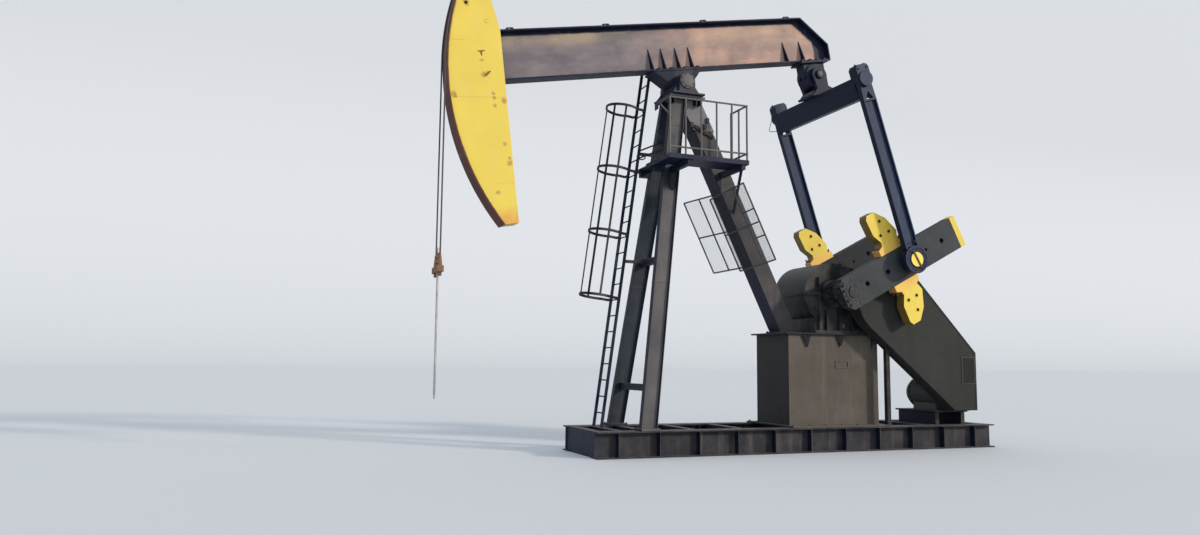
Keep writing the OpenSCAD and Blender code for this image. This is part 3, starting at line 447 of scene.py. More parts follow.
def crank_marks(s, color, fine):
    """The crank's yellow tip, grease round its holes, painted shade on the cranks' inner faces and a rough
    cast hub.
    """
    x, y, z = s.sep(s.place(CRANK))
    for hole, wide in ((0.37, 0.08), (0.92, 0.08), (2.41, 0.08), (1.97, 0.045)):
        near = s.span(s.distance(x, z, (hole, 0.0)), wide, 0.03)
        color = s.over(color, (0.015, 0.014, 0.013), near, s.span(fine, 0.2, 0.6), 0.8)
    # Painted shade: the cranks' inner faces, turned toward each other and the gearbox, are darkened
    inner_face_shade = s.span(s.abs(y), CRANK_FACE + 0.03, CRANK_FACE + 0.01)
    color = s.over(color, (0.013, 0.015, 0.017), inner_face_shade, 0.85)
    color = s.over(color, (0.012, 0.012, 0.013), s.spots(0.58, 0.66, 26.0, 6.0, 0.8), 0.45)
    chalk = s.times(s.spots(0.6, 0.68, 19.0, 6.0, 0.8), s.spots(0.42, 0.6, 1.7, 3.0))
    color = s.over(color, (0.15, 0.145, 0.135), chalk, 0.55)
    hub = s.span(x, 0.25, -0.1)
    color = s.over(color, (0.072, 0.068, 0.062), hub, s.spots(0.44, 0.62, 17.0, 6.0, 0.75), 0.75)
    color = s.over(color, (0.014, 0.013, 0.012), hub, s.spots(0.6, 0.66, 11.0, 6.0, 0.75))
    tip = s.span(s.add(x, s.wobble(0.012, 30.0, 3.0)), 2.808, 2.814)
    return s.mix(tip, color, s.mix(fine, YELLOW, (0.66, 0.5, 0.1)))


def leg_platform_shadow(s, color, fine):
    """Painted shadow of the platform: a dark band across the leg about the platform's height."""
    h = s.add(s.sep(s.pos)[2], s.wobble(0.5, 3.0, 5.0, 0.65))
    # Painted shadow: the dark band about the platform
    band = s.times(s.span(h, 4.72, 5.05), s.span(h, 5.75, 5.45))
    return s.over(color, (0.016, 0.018, 0.028), band, 0.75)


def pedestal_marks(s, color, fine):
    """The pedestal's gussets and the edge of its top plate are black."""
    x, y, z = s.sep(s.pos)
    gusset = s.times(s.span(s.abs(y), PEDESTAL_HALF + 0.002, PEDESTAL_HALF + 0.006), s.span(z, 1.9, 1.92))
    return s.over(color, (0.012, 0.013, 0.015), gusset, 0.9)


def saddle_shade_marks(s, color, fine):
    """The saddle's housing is darker away from its shaft: painted shade on its left, forward-facing slope,
    and a lesser darkening on its right.
    """
    x, y, z = s.sep(s.pos)
    wob = s.wobble(0.12, 6.0, 5.0, 0.65)
    left = s.span(s.add(x, wob), -0.12, -0.2)
    right = s.span(s.add(x, wob), 0.2, 0.27)
    high = s.span(z, POST_TOP + 0.1, POST_TOP + 0.14)
    # Painted shade on the left slope, which faces forward and down
    color = s.over(color, NAVY, left, high, 0.85)
    return s.over(color, NAVY, right, high, 0.55)


def weight_marks(s, color, fine):
    """Counterweights: sides darkened to brown as painted shade, an orange tint at the foot and rust round the
    bolts.
    """
    x, y, z = s.sep(s.place(CRANK))
    # Painted shade: faces that don't look along y, the weights' sides, go dark brown
    flat = s.span(s.abs(s.sep(s.normal)[1]), 0.85, 0.55)
    color = s.over(color, s.mix(fine, (0.055, 0.032, 0.013), (0.13, 0.078, 0.026)), flat, 0.88)
    away = s.math("SUBTRACT", s.abs(z), CRANK_HALF)
    wob = s.wobble(0.16, 8.0, 5.0, 0.7)
    foot = s.span(s.add(away, wob), 0.24, 0.1)
    color = s.over(color, (0.78, 0.43, 0.11), foot, 0.62)
    return s.over(color, (0.35, 0.18, 0.05), s.spots(0.6, 0.68, 21.0, 5.0, 0.75), 0.5)


M = {
    "frame": painted("frame_paint", GREY, (0.02, 0.021, 0.027), DUST, 0.45, 0.4, front=NAVY),
    # The near and far front legs wear lit and shaded copies of one paint: the far leg's darker slate is
    # painted shade
    "lit": painted("leg_paint", GREY_WORN, (0.062, 0.06, 0.066), DUST, 0.5, 0.4, streak=0.4, front=NAVY,
                   extra=leg_platform_shadow),
    "shaded_leg": painted("far_leg_shaded_paint", (0.021, 0.027, 0.038), (0.033, 0.039, 0.05), (0.095, 0.095, 0.1), 0.4,
                     0.35, front=(0.014, 0.018, 0.028)),
    "rear": painted("rear_leg_paint", (0.036, 0.036, 0.039), (0.05, 0.048, 0.05), DUST, 0.45, 0.4,
                    front=NAVY),
    "post": painted("post_paint", (0.13, 0.124, 0.13), (0.185, 0.174, 0.174), (0.21, 0.19, 0.18), 0.5, 0.5,
                    front=NAVY),
    "navy": painted("navy_paint", NAVY, NAVY_WORN, (0.05, 0.055, 0.08), 0.3, 0.25, front=NAVY),
    "beam": painted("beam_paint", NAVY, NAVY_WORN, (0.08, 0.08, 0.088), 0.4, 0.25, front=NAVY,
                    extra=web_dust_and_painted_light),
    "dusty": painted("pitman_paint", (0.015, 0.025, 0.056), (0.026, 0.038, 0.078), (0.07, 0.09, 0.15), 0.4,
                     0.3, streak=0.4, front=NAVY),
    "pedestal": painted("pedestal_paint", (0.066, 0.055, 0.044), (0.096, 0.083, 0.07),
                        (0.135, 0.115, 0.098), 0.5, 0.5, streak=0.5, front=(0.01, 0.011, 0.013),
                        extra=pedestal_marks),
    "saddle": painted("saddle_paint", (0.024, 0.025, 0.038), (0.046, 0.045, 0.055), (0.11, 0.1, 0.095), 0.4,
                      0.4, front=NAVY, extra=saddle_shade_marks),
    "platform": painted("rail_paint", (0.088, 0.083, 0.077), (0.135, 0.127, 0.117), (0.2, 0.185, 0.17), 0.5,
                        0.6, front=(0.06, 0.06, 0.07)),
    "tube": painted("screen_paint", (0.05, 0.052, 0.06), (0.08, 0.08, 0.085), DUST, 0.4, 0.4),
    "black": painted("gearbox_paint", (0.007, 0.0085, 0.0095), (0.013, 0.0145, 0.015), (0.105, 0.1, 0.096),
                     0.8, 0.1, rough=0.42, streak=0.24, spec=0.22),
    "guard": painted("guard_paint", (0.02, 0.0215, 0.0195), (0.026, 0.0275, 0.0245), (0.055, 0.054, 0.048),
                     0.3, 0.15, rough=0.6, streak=0.1),
    "motor": painted("motor_paint", (0.055, 0.07, 0.066), (0.085, 0.1, 0.095), DUST, 0.5, 0.4),
    "head": painted("head_paint", YELLOW, (0.645, 0.485, 0.074), (0.58, 0.46, 0.17), 0.3, 0.12, rough=0.46,
                    streak=0.14, spec=0.25, extra=head_marks),
    "weight": painted("weight_paint", (0.72, 0.545, 0.07), (0.66, 0.475, 0.056), (0.46, 0.35, 0.13), 0.35,
                      0.5, rough=0.46, streak=0.15, spec=0.25, extra=weight_marks),
    "rim": painted("rim_rust", (0.078, 0.032, 0.027), (0.125, 0.048, 0.036), (0.14, 0.08, 0.062), 0.3, 0.9,
                   rough=0.7),
    "crank": painted("crank_paint", (0.029, 0.033, 0.037), (0.045, 0.048, 0.051), (0.105, 0.104, 0.102),
                     0.45, 0.3, rough=0.62, streak=0.0, front=(0.008, 0.009, 0.011), extra=crank_marks),
    "rusty": painted("carrier_paint", (0.19, 0.1, 0.055), (0.12, 0.07, 0.045), (0.28, 0.2, 0.14), 0.4, 0.9,
                     rough=0.7),
    "iron": painted("bolt_iron", (0.034, 0.032, 0.032), (0.055, 0.048, 0.042), (0.1, 0.09, 0.08), 0.3, 0.9,
                    rough=0.5),
    "brown": painted("bolt_rust", (0.07, 0.036, 0.02), (0.125, 0.062, 0.03), DUST, 0.2, 1.0, rough=0.65),
    "stain": painted("rust_stain", (0.15, 0.07, 0.022), (0.22, 0.11, 0.03), (0.3, 0.2, 0.1), 0.2, 0.8,
                     rough=0.7),
    "disc": painted("disc_paint", (0.82, 0.68, 0.13), (0.78, 0.6, 0.09), (0.6, 0.48, 0.2), 0.2, 0.6,
                    rough=0.5, streak=0.0),
    "hollow": painted("gusset_and_shadow_black", (0.0085, 0.009, 0.01), (0.014, 0.014, 0.015), (0.05, 0.046, 0.04),
                      0.3, 0.3, rough=0.7, streak=0.2),
    "dark": painted("joint_black_and_hole_shade", (0.01, 0.009, 0.009), (0.018, 0.016, 0.015), (0.04, 0.035, 0.03), 0.3,
                    0.2, rough=0.8, streak=0.0),
    "cap": painted("cap_paint", (0.075, 0.076, 0.082), (0.125, 0.122, 0.122), DUST, 0.4, 0.5, rough=0.5),
}


def steel(name, tone, rough):
    s = Shader(name)
    fine = s.noise(60.0, 3.0, 0.6)
    color = s.mix(s.spots(0.4, 0.7, 4.0, 5.0, 0.6), tone, tuple(v * 0.6 for v in tone))
    return s.finish(color, s.add(s.times(fine, 0.2), rough - 0.1), 0.85, [(fine, 0.0004)])


def rope(name):
    """Laid wire: a slanting twist along the height, dark with grease."""
    s = Shader(name)
    x, y, z = s.sep(s.pos)
    lay = s.math("SINE", s.add(s.times(z, 160.0), s.times(x, 300.0)))
    color = s.mix(s.span(lay, -1.0, 1.0), (0.035, 0.032, 0.03), (0.105, 0.098, 0.092))
    return s.finish(color, 0.55, 0.5, [(lay, 0.002)])


M["steel"] = steel("shaft_steel", (0.42, 0.41, 0.4), 0.4)
M["rope"] = rope("cable_steel")

LOOK = {
    "frame": "rail_near rail_far cross_members leg_braces ladder_cage motor_stand",
    "lit": "front_leg_near",
    "shaded_leg": "front_leg_far",
    "rear": "rear_leg",
    "post": "post_head",
    "navy": "platform_floor ladder_rails ladder_rungs beam_stiffeners equalizer_bearing equalizer_yoke"
            " wrist_bearings equalizer_shaft",
    "dusty": "pitman_near pitman_far",
    "saddle": "saddle_block saddle_housing",
    "pedestal": "pedestal",
    "platform": "platform_rail",
    "tube": "leg_screen_near leg_screen_far",
    "black": "gearbox guard_posts",
    "guard": "belt_guard",
    "motor": "motor",
    "beam": "walking_beam",
    "head": "horsehead_sides horsehead_back",
    "rim": "horsehead_rim",
    "rope": "wireline_wrap wireline_drop",
    "crank": "crankshaft crank_near crank_far",
    "weight": "weight_near_upper weight_near_lower weight_far_upper weight_far_lower",
    "rusty": "carrier_bar",
    "steel": "polished_rod",
}
# Bent or turned solids, which need no round on their edges
ROUND = ("wireline_wrap wireline_drop polished_rod platform_rail leg_screen_near leg_screen_far"
         " ladder_rungs ladder_cage horsehead_rim").split()
for look, names in LOOK.items():
    for name in names.split():
        obj = cad[name]
        obj.data.materials.clear()
        obj.data.materials.append(M[look])
        if name in ROUND:
            smooth(obj)
        else:
            smooth(obj, EDGE, weld=True)


# Small fittings, each in its body's frame
def clamp_row(p, xs, y_out, t):
    """Clips that hold the beam's bottom flange down on a plate at the foot of the beam."""
    top = BEAM_GAP + FLANGE_T
    for x in xs:
        for s, inner, outer in sides(0.13, y_out):
            pack_in, pack_out = sorted((s * (BEAM_W / 2 + 0.003), s * y_out))
            p.box((x - 0.035, pack_in, BEAM_GAP), (x + 0.035, pack_out, top))
            p.box((x - 0.038, inner, top), (x + 0.038, outer, top + t))
            p.bolt((x, s * (BEAM_W / 2 + 0.022), top + t), UP, 0.01, 0.008)


def saddle_fittings():
    p = Piece()
    for s in SIDES:
        p.lathe((0, s * 0.432, PIVOT_H), (0, s, 0),
                [(-0.004, 0.15), (0.02, 0.15), (0.027, 0.143), (0.027, 0)], 48)
        p.lathe((0, s * 0.456, PIVOT_H), (0, s, 0),
                [(0, 0.118), (0.014, 0.112), (0.022, 0.085), (0.022, 0)], 48)
    p.done("saddle_caps", "cap", bevel=0.004)
    for s in SIDES:
        p.bolt_circle(0, s * 0.458, PIVOT_H, 0.132, 8, 0.011)
        p.bolt_row((-0.24, 0.245, 0.325), s * 0.335, POST_TOP + 0.035, 0.022)
        nipple = ((0.02, 0.4, 0.165), (0.02, 0.4, 0.2), (0.03, 0.41, 0.215))
        p.tube([(x, s * y, PIVOT_H + z) for x, y, z in nipple], 0.008, 8)
    p.done("saddle_bolts", "iron")
    for s, y0, y1 in sides(0.355, 0.38):
        for x in both(0.175):
            rib = ((-0.01, 0.03), (0.1, 0.03), (0.1, 0.05), (-0.01, 0.2))
            p.plate([(x + copysign(1, x) * dx, POST_TOP + z) for dx, z in rib], y0, y1)
    p.done("saddle_ribs", "saddle", bevel=0.003)


def post_fittings():
    p = Piece()
    for x, z, w in ((0.192, 6.21, 0.075), (0.539, 6.327, 0.06), (0.473, 6.2, 0.075)):
        for s, y0, y1 in sides(0.195, 0.245):
            p.box((x - w / 2, y0, z - 0.05), (x + w / 2, y1, z + 0.05))
    lean = Matrix.Translation((0.466, 0, 6.12)) @ Matrix.Rotation(REAR_LEAN, 4, "Y")
    q = Piece(at=lean)
    for z in (-0.05, -0.02):
        q.box((-0.225, -0.235, z), (0.235, 0.235, z + 0.025))
    q.done("rear_leg_flanges", "frame", bevel=0.004)
    p.done("post_lugs", "frame", bevel=0.006)
    p = Piece(at=lean)
    for s in SIDES:
        for x in (-0.15, -0.05, 0.05, 0.15):
            p.bolt((x, s * 0.2175, 0.005), UP, 0.013, 0.02)
            p.bolt((x, s * 0.2175, -0.05), DOWN, 0.013, 0.014)
    p.done("rear_leg_bolts", "iron")
    p = Piece()
    for s, y0, y1 in sides(0.2, 0.345):
        for x in (-0.32, -0.22, 0.24, 0.34):
            p.box((x - 0.008, y0, POST_TOP - 0.16), (x + 0.008, y1, POST_TOP - 0.045))
    p.done("cap_gussets", "saddle", bevel=0.002)
    # Hook on the near leg
    p.tube([(-0.345, -0.34, 5.27), (-0.345, -0.37, 5.19), (-0.355, -0.388, 5.06), (-0.345, -0.388, 4.95),
            (-0.305, -0.388, 4.89), (-0.262, -0.388, 4.885), (-0.23, -0.388, 4.93), (-0.222, -0.385, 5.0)],
           0.016)
    p.done("leg_hook", "navy")
    # Weld seams round the I-section of the front legs
    for s in SIDES:
        for z in (6.155, 3.1):
            rise = (z - BASE_H) / (LEG_TOP - BASE_H)
            x, y = LEG_X + rise * 0.85, LEG_Y - rise * 0.58
            for side in SIDES:
                web = s * (y + side * 0.008)
                p.tube([(x - 0.138, web, z), (x + 0.138, web, z)], 0.005, 8)
                for dx in both(0.1565):
                    p.tube([(x + dx, s * y, z), (x + dx, s * (y + side * 0.064), z)], 0.005, 8)
    p.done("leg_welds", "lit")
    for s in SIDES:
        for y in (0.865, 0.605):
            p.bolt_row((LEG_X - 0.169, LEG_X + 0.169), s * y, 0.5, 0.011)
        p.bolt_row((2.113, 2.345, 2.572), s * 0.233, PEDESTAL_TOP + 0.03, 0.015)
    p.done("foot_bolts", "iron")


def gearbox_fittings():
    face, boss, foot = 0.55, 0.7, 2.3
    low, high = SHAFT_H - 0.03, SHAFT_H + 0.03
    p = Piece()
    for s, y0, y1 in sides(face - 0.01, face + 0.045):
        p.box((2.475, y0, low), (SHAFT_X - 0.265, y1, high))
        p.box((SHAFT_X + 0.265, y0, low), (4.625, y1, high))
    for x0, x1 in ((2.455, 2.5), (4.59, 4.63)):
        p.box((x0, -face - 0.045, low), (x1, face + 0.045, high))
    for s, y0, y1 in sides(face - 0.01, face + 0.055):
        for x in (2.95, 3.25, 4.08, 4.42):
            if s > 0 or x < 4.0:
                p.box((x - 0.012, y0, foot), (x + 0.012, y1, SHAFT_H - 0.3 if x < 3.5 else low))
    p.done("gearbox_split", "black", 0.005)
    for s in SIDES:
        p.bolt_circle(SHAFT_X, s * boss, SHAFT_H, 0.19, 10, 0.016)
        p.bolt_row((2.54, 2.66, 2.78, 3.42, 3.6, 3.76, 3.92), s * (face + 0.022), high, 0.014)
        p.bolt_row((2.72, 2.9, 3.15, 3.4, 3.66, 3.95, 4.25, 4.55), s * 0.597, foot, 0.014)
    p.bolt_circle(GUARD_X, 0.61, GUARD_Z, 0.13, 6, 0.013, 0)
    p.done("gearbox_bolts", "iron")
    # The cover lies on the housing's sloping top
    lid = tilted(3.86, 3.511, radians(-9.93))
    p = Piece(at=lid)
    p.box((-0.36, -0.34, -0.012), (0.36, 0.34, 0.022))
    p.lathe((0.2, 0, 0.022), UP,
            [(0, 0.045), (0.05, 0.045), (0.055, 0.06), (0.1, 0.062), (0.125, 0.045), (0.125, 0)])
    for x in (-0.47, 0.46):
        for s in SIDES:
            p.plate([(x - 0.06, -0.02), (x + 0.06, -0.02), (x + 0.035, 0.075), (x - 0.035, 0.075)],
                    s * 0.4 - 0.012, s * 0.4 + 0.012)
    p.done("gearbox_cover", "black", 0.004)
    for s in SIDES:
        p.bolt_row((-0.32, -0.16, 0.0, 0.16, 0.32), s * 0.305, 0.022, 0.011)
        for y in (-0.15, 0.0, 0.15):
            p.bolt((s * 0.325, y, 0.022), UP, 0.011)
    p.done("cover_bolts", "iron")
    p = Piece()
    out = (0, -1, 0)
    p.lathe((3.68, -face, 2.62), out,
            [(-0.004, 0.06), (0.012, 0.06), (0.018, 0.052), (0.018, 0.034), (0.01, 0.032), (0.01, 0)])
    p.lathe((3.35, -face, 2.4), out, [(-0.004, 0.04), (0.012, 0.04), (0.012, 0)], 24)
    p.bolt((3.35, -face - 0.012, 2.4), out, 0.024, 0.03, washer=False)
    p.done("oil_gauge", "cap")


def guard_outline():
    """The belt guard's outline, anticlockwise from the top of its round end."""
    up, low = radians(44.3), radians(231.3)
    pts = [(GUARD_X + GUARD_R * cos(a), GUARD_Z + GUARD_R * sin(a)) for a in
           (up + (low - up) * i / 40 for i in range(41))]
    x, z = pts[-1]
    top_x, top_z = pts[0]
    pts.append((x + (z - GUARD_FOOT) / tan(radians(38.7)), GUARD_FOOT))
    pts.append((GUARD_REAR, GUARD_FOOT))
    pts.append((GUARD_REAR, top_z - (GUARD_REAR - top_x) * tan(radians(45.7))))
    return pts


def inset(points, d):
    """An anticlockwise outline moved inward by d."""
    out = []
    for i, (x, z) in enumerate(points):
        ax, az = points[i - 1]
        bx, bz = points[(i + 1) % len(points)]
        u = Vector((x - ax, z - az)).normalized()
        v = Vector((bx - x, bz - z)).normalized()
        n = Vector((-u.y - v.y, u.x + v.x))
        n = n.normalized() / max(0.4, sqrt((1 + u.dot(v)) / 2))
        out.append((x + n.x * d, z + n.y * d))
    return out


def loop_band(p, outer, inner, y0, y1):
    """A flat band between two outlines of the same count, from y0 to y1."""
    n = len(outer)
    faces = []
    for a, b in ((0, 1), (1, 3), (3, 2), (2, 0)):
        faces += [(a * n + i, a * n + (i + 1) % n, b * n + (i + 1) % n, b * n + i) for i in range(n)]
    p.solid([(x, y, z) for pts in (outer, inner) for y in (y0, y1) for x, z in pts], faces)


def opening_band(p, x0, x1, z0, z1, w, y0, y1):
    """A flat band, w wide, round a rectangular opening."""
    corners = [[(x0 - g, z0 - g), (x1 + g, z0 - g), (x1 + g, z1 + g), (x0 - g, z1 + g)] for g in (w, 0)]
    loop_band(p, *corners, y0, y1)


def diagonals(width, height, starts):
    """Ends (u, v) of each wire of a diamond mesh over a field, with the side of it that the wire lies on."""
    for a in starts:
        low, high = max(a, 0.0), min(a + height, width)
        if high - low > 0.01:
            for s in SIDES:
                yield s, [(u if s > 0 else width - u, u - a) for u in (low, high)]


def guard_fittings():
    outline = guard_outline()
    face, back = -0.96, -0.66
    p = Piece()
    loop_band(p, inset(outline, 0.004), inset(outline, 0.04), face - 0.006, face + 0.004)
    loop_band(p, inset(outline, -0.022), inset(outline, 0.01), back - 0.055, back - 0.045)
    p.done("guard_rim", "guard", 0.002)
    spots = inset(outline, 0.022)
    pitch, along = 0.26, 0.0
    for (x0, z0), (x1, z1) in zip(spots, spots[1:] + spots[:1]):
        length = hypot(x1 - x0, z1 - z0)
        while along < length:
            t = along / length
            p.bolt((x0 + (x1 - x0) * t, face - 0.006, z0 + (z1 - z0) * t), (0, -1, 0), 0.009)
            along += pitch
        along -= length
    p.done("guard_bolts", "iron")
    # Mesh window low at the rear
    x0, x1, z0, z1 = 5.93, 6.21, 1.3, 1.8
    opening_band(p, x0, x1, z0, z1, 0.03, face - 0.01, face + 0.002)
    for s, ends in diagonals(x1 - x0, z1 - z0, [i * 0.05 for i in range(-9, 10)]):
        p.tube([(x0 + u, face - 0.004 - 0.002 * s, z0 + v) for u, v in ends], 0.0025, 6)
    p.done("guard_window", "iron")


def pedestal_fittings():
    half = PEDESTAL_HALF
    p = Piece()
    opening_band(p, 3.14, 3.42, 1.595, 1.705, 0.012, -half - 0.016, -half + 0.002)
    p.done("label_frame", "platform", 0.001)
    # Black plates as wide as a gusset with the shadow it casts: a real gusset in part, painted shadow in part
    top = PEDESTAL_TOP - 0.028
    for s, y0, y1 in sides(half + 0.03, half + 0.042):
        for a, b, tip, low in ((2.357, 2.558, 2.475, 1.98), (3.142, 3.342, 3.248, 2.01)):
            p.plate([(a, top), (tip - 0.008, low), (tip + 0.008, low), (b, top)], y0, y1)
    p.done("pedestal_gussets", "hollow", 0.002)
    for s in SIDES:
        p.bolt_row([2.02 + 0.36 * i for i in range(7)], s * 0.79, 0.49, 0.018)
        x = PEDESTAL_X - 0.045 if s < 0 else PEDESTAL_REAR + 0.045
        for y in both(0.5):
            p.bolt((x, y, 0.49), UP, 0.018)
    p.done("pedestal_bolts", "iron")
    for s in SIDES:
        x = -1.55
        while x < 6.7:
            for side in SIDES:
                y0, y1 = sorted((s * RAIL_Y + side * 0.01, s * RAIL_Y + side * 0.142))
                p.box((x - 0.008, y0, 0.022), (x + 0.008, y1, BASE_H - 0.022))
            x += 0.78
    p.done("base_stiffeners", "frame", bevel=0.002)
    for s in SIDES:
        for x in (-1.65, 6.45):
            for dy in both(0.09):
                p.ring((x, s * RAIL_Y + dy, 0.024), UP, 0.0175, 0.036, 0.006)
    p.done("anchor_washers", "iron")


def motor_fittings():
    x, z, r = 5.9, 1.08, 0.29
    p = Piece()
    for i in range(36):
        c, s = cos(radians(10 * i)), sin(radians(10 * i))
        # Left free for the terminal box on top and the feet below
        if (abs(c) < 0.35 and s > 0) or s < -0.55:
            continue
        fin = [(x + (r + 0.012) * c, y, z + (r + 0.012) * s) for y in (-0.5, 0.22)]
        p.bar(*fin, 0.008, 0.034, (c, 0, s))
    for y in (-0.58, 0.26):
        p.ring((x, y, z), (0, 1, 0), r - 0.01, r + 0.028, 0.035, 48)
    p.done("motor_fins", "motor")
    for i in range(4):
        p.ring((x, 0.39, z), (0, 1, 0), 0.05 + 0.055 * i, 0.065 + 0.055 * i, 0.008, 40)
    for i in range(8):
        c, s = cos(radians(45 * i)), sin(radians(45 * i))
        p.bar(*[(x + u * c, 0.394, z + u * s) for u in (0.05, 0.23)], 0.01, 0.008, (0, 1, 0))
    for y in (-0.27, -0.03):
        p.bolt_row((x - 0.105, x + 0.105), y, z + r + 0.11, 0.01)
    for y in (-0.4, 0.1):
        p.bolt_row((x - 0.3087, x + 0.3087), y, 0.73, 0.016)
    p.done("motor_grille", "iron")


def platform_fittings():
    near, front, rear, h = -1.12, -0.71, 0.92, FLOOR_H
    low = h - 0.052
    p = Piece()
    p.box((front, near - 0.004, low), (rear, near + 0.006, h + 0.035))
    p.box((rear - 0.006, near, low), (rear + 0.004, -0.505, h + 0.035))
    p.box((front - 0.004, near, low), (front + 0.006, -0.1, h + 0.03))
    p.plate([(rear - 0.145, h - 0.14), (rear - 0.3, h - 0.145), (rear - 0.145, h - 0.4)], -0.33, -0.31)
    p.done("platform_edges", "navy", 0.002)
    y = near + 0.025
    for i in range(6):
        x = front + 0.025 + i * (rear - front - 0.05) / 5
        p.box((x - 0.045, y - 0.022, h), (x + 0.045, y + 0.06, h + 0.01))
        p.ring((x, y, h + 0.008), UP, 0.0175, 0.026, 0.02, 20)
    p.done("rail_feet", "platform", 0.002)
    # Bar grating on top of the floor plate
    for i in range(42):
        x = front + 0.03 + 0.0385 * i
        p.box((x - 0.002, near + 0.01, h), (x + 0.002, -0.5, h + 0.012))
    for i in range(7):
        y = near + 0.06 + 0.09 * i
        p.box((front + 0.01, y - 0.003, h + 0.001), (rear - 0.01, y + 0.003, h + 0.01))
    p.done("platform_grating", "platform")
    # Stays and the loop at the ladder's head
    y = 0.24
    for dz in (0.0, 0.14):
        stay = ((-0.72, 5.7), (-0.56, 5.775), (-0.36, 5.865), (-0.22, 5.93))
        p.tube([(x, y, z - dz) for x, z in stay], 0.016, 10)
    turns = [2 * pi * i / 16 for i in range(16)]
    p.tube([(-0.66 + 0.085 * cos(a), y, 5.6 + 0.055 * sin(a)) for a in turns], 0.012, 8, closed=True)
    p.done("ladder_stays", "navy")


def screen_mesh(name, inner, outer, low, high, pitch, wire):
    """A diamond mesh between the corners of a screen's frame, ahead of the rear leg's front face."""
    def at(t, z):
        y, ahead = (a + t * (b - a) for a, b in zip(inner, outer))
        h = z - 0.08 * y
        x = REAR_LEG_X - (h - PEDESTAL_TOP) * tan(REAR_LEAN)
        return Vector((x - 0.175 / cos(REAR_LEAN) - ahead, y, h))
    across, upward = at(1, low) - at(0, low), at(0, high) - at(0, low)
    width, height = across.length, upward.length
    normal = across.cross(upward).normalized()
    p = Piece()
    step = pitch * 1.4142
    starts = [i * step - height for i in range(1, int((width + height) / step) + 1)]
    for s, ends in diagonals(width, height, starts):
        p.tube([at(u / width, low + (high - low) * v / height) + normal * (0.0022 * s) for u, v in ends],
               wire, 5)
    p.done(name, "tube")


def beam_fittings():
    p = Piece("beam")
    clamp_row(p, (-0.42, -0.15, 0.15, 0.42), 0.196, 0.007)
    clamp_row(p, [REAR_ARM + dx for dx in (-0.27, -0.09, 0.09, 0.27)], 0.188, 0.007)
    p.done("beam_clamps", "navy", 0.003)
    for s, y0, y1 in sides(0.03, 0.12):
        for dx in both(0.285):
            x0, x1 = sorted((REAR_ARM + dx * 0.83, REAR_ARM + dx))
            p.box((x0, y0, -0.028), (x1, y1, 0.028))
            p.bolt((REAR_ARM + dx * 0.93, s * 0.075, -0.028), DOWN, 0.013)
    for s in SIDES:
        p.ring((REAR_ARM, s * 0.17, 0), (0, s, 0), 0.1, 0.155, 0.006, 40)
    p.done("equalizer_split", "navy", 0.003)
    # Sloping ribs and bearing rims of the saddle's wedge
    for s, y0, y1 in sides(0.198, 0.206):
        p.plate([(-0.5, 0.284), (-0.46, 0.245), (-0.22, 0.03), (-0.2, 0.06), (-0.4, 0.25), (-0.4, 0.284)],
                y0, y1)
        p.plate([(0.45, 0.284), (0.36, 0.175), (0.2, 0.03), (0.19, 0.07), (0.31, 0.19), (0.36, 0.284)],
                y0, y1)
    for s in SIDES:
        p.ring((0, s * 0.29, 0), (0, s, 0), 0.1, 0.165, 0.006, 40)
    p.done("saddle_trim", "saddle", 0.002)
    for s in SIDES:
        for z in (BEAM_GAP + FLANGE_T, BEAM_TOP - FLANGE_T):
            p.bar((-3.4, s * 0.012, z), (2.95, s * 0.012, z), 0.012, 0.012, UP)
    p.done("beam_welds", "navy")


def head_fittings():
    side = 0.1653
    # The eye and the weld beads across the side plates
    p = Piece("beam")
    for s in SIDES:
        y = s * side
        p.ring((-3.661, y, 1.407), (0, s, 0), 0.026, 0.046, 0.007, 32)
        for x0, z0, x1, z1 in ((-4.389, 1.097, -4.138, 1.082), (-4.471, 0.072, -3.564, -0.002),
                               (-3.951, -1.522, -3.619, -1.545)):
            p.tube([(x0, y, z0), ((x0 + x1) / 2, y, (z0 + z1) / 2 + 0.004), (x1, y, z1)], 0.0045, 8)
    p.done("head_marks", "head", 0.001)
    # Black discs painted as the shade inside the side plates' holes
    for s in SIDES:
        p.disc(-3.989, s * (side - 0.001), 1.749, 0.032, 0.002, 24)
    p.done("head_holes", "dark")
    for s, y0, y1 in sides(side - 0.001, side + 0.004):
        p.plate([(-3.915, 0.846), (-3.79, 0.852), (-3.79, 0.872), (-3.82, 0.874), (-3.915, 0.868)], y0, y1)
        p.plate([(-3.868, 0.775), (-3.848, 0.775), (-3.838, 0.85), (-3.88, 0.85)], y0, y1)
        p.plate([(-3.865, 0.4), (-3.8, 0.425), (-3.735, 0.48), (-3.755, 0.5), (-3.8, 0.47), (-3.87, 0.425)],
                y0, y1)
    p.done("head_bosses", "stain", 0.001)


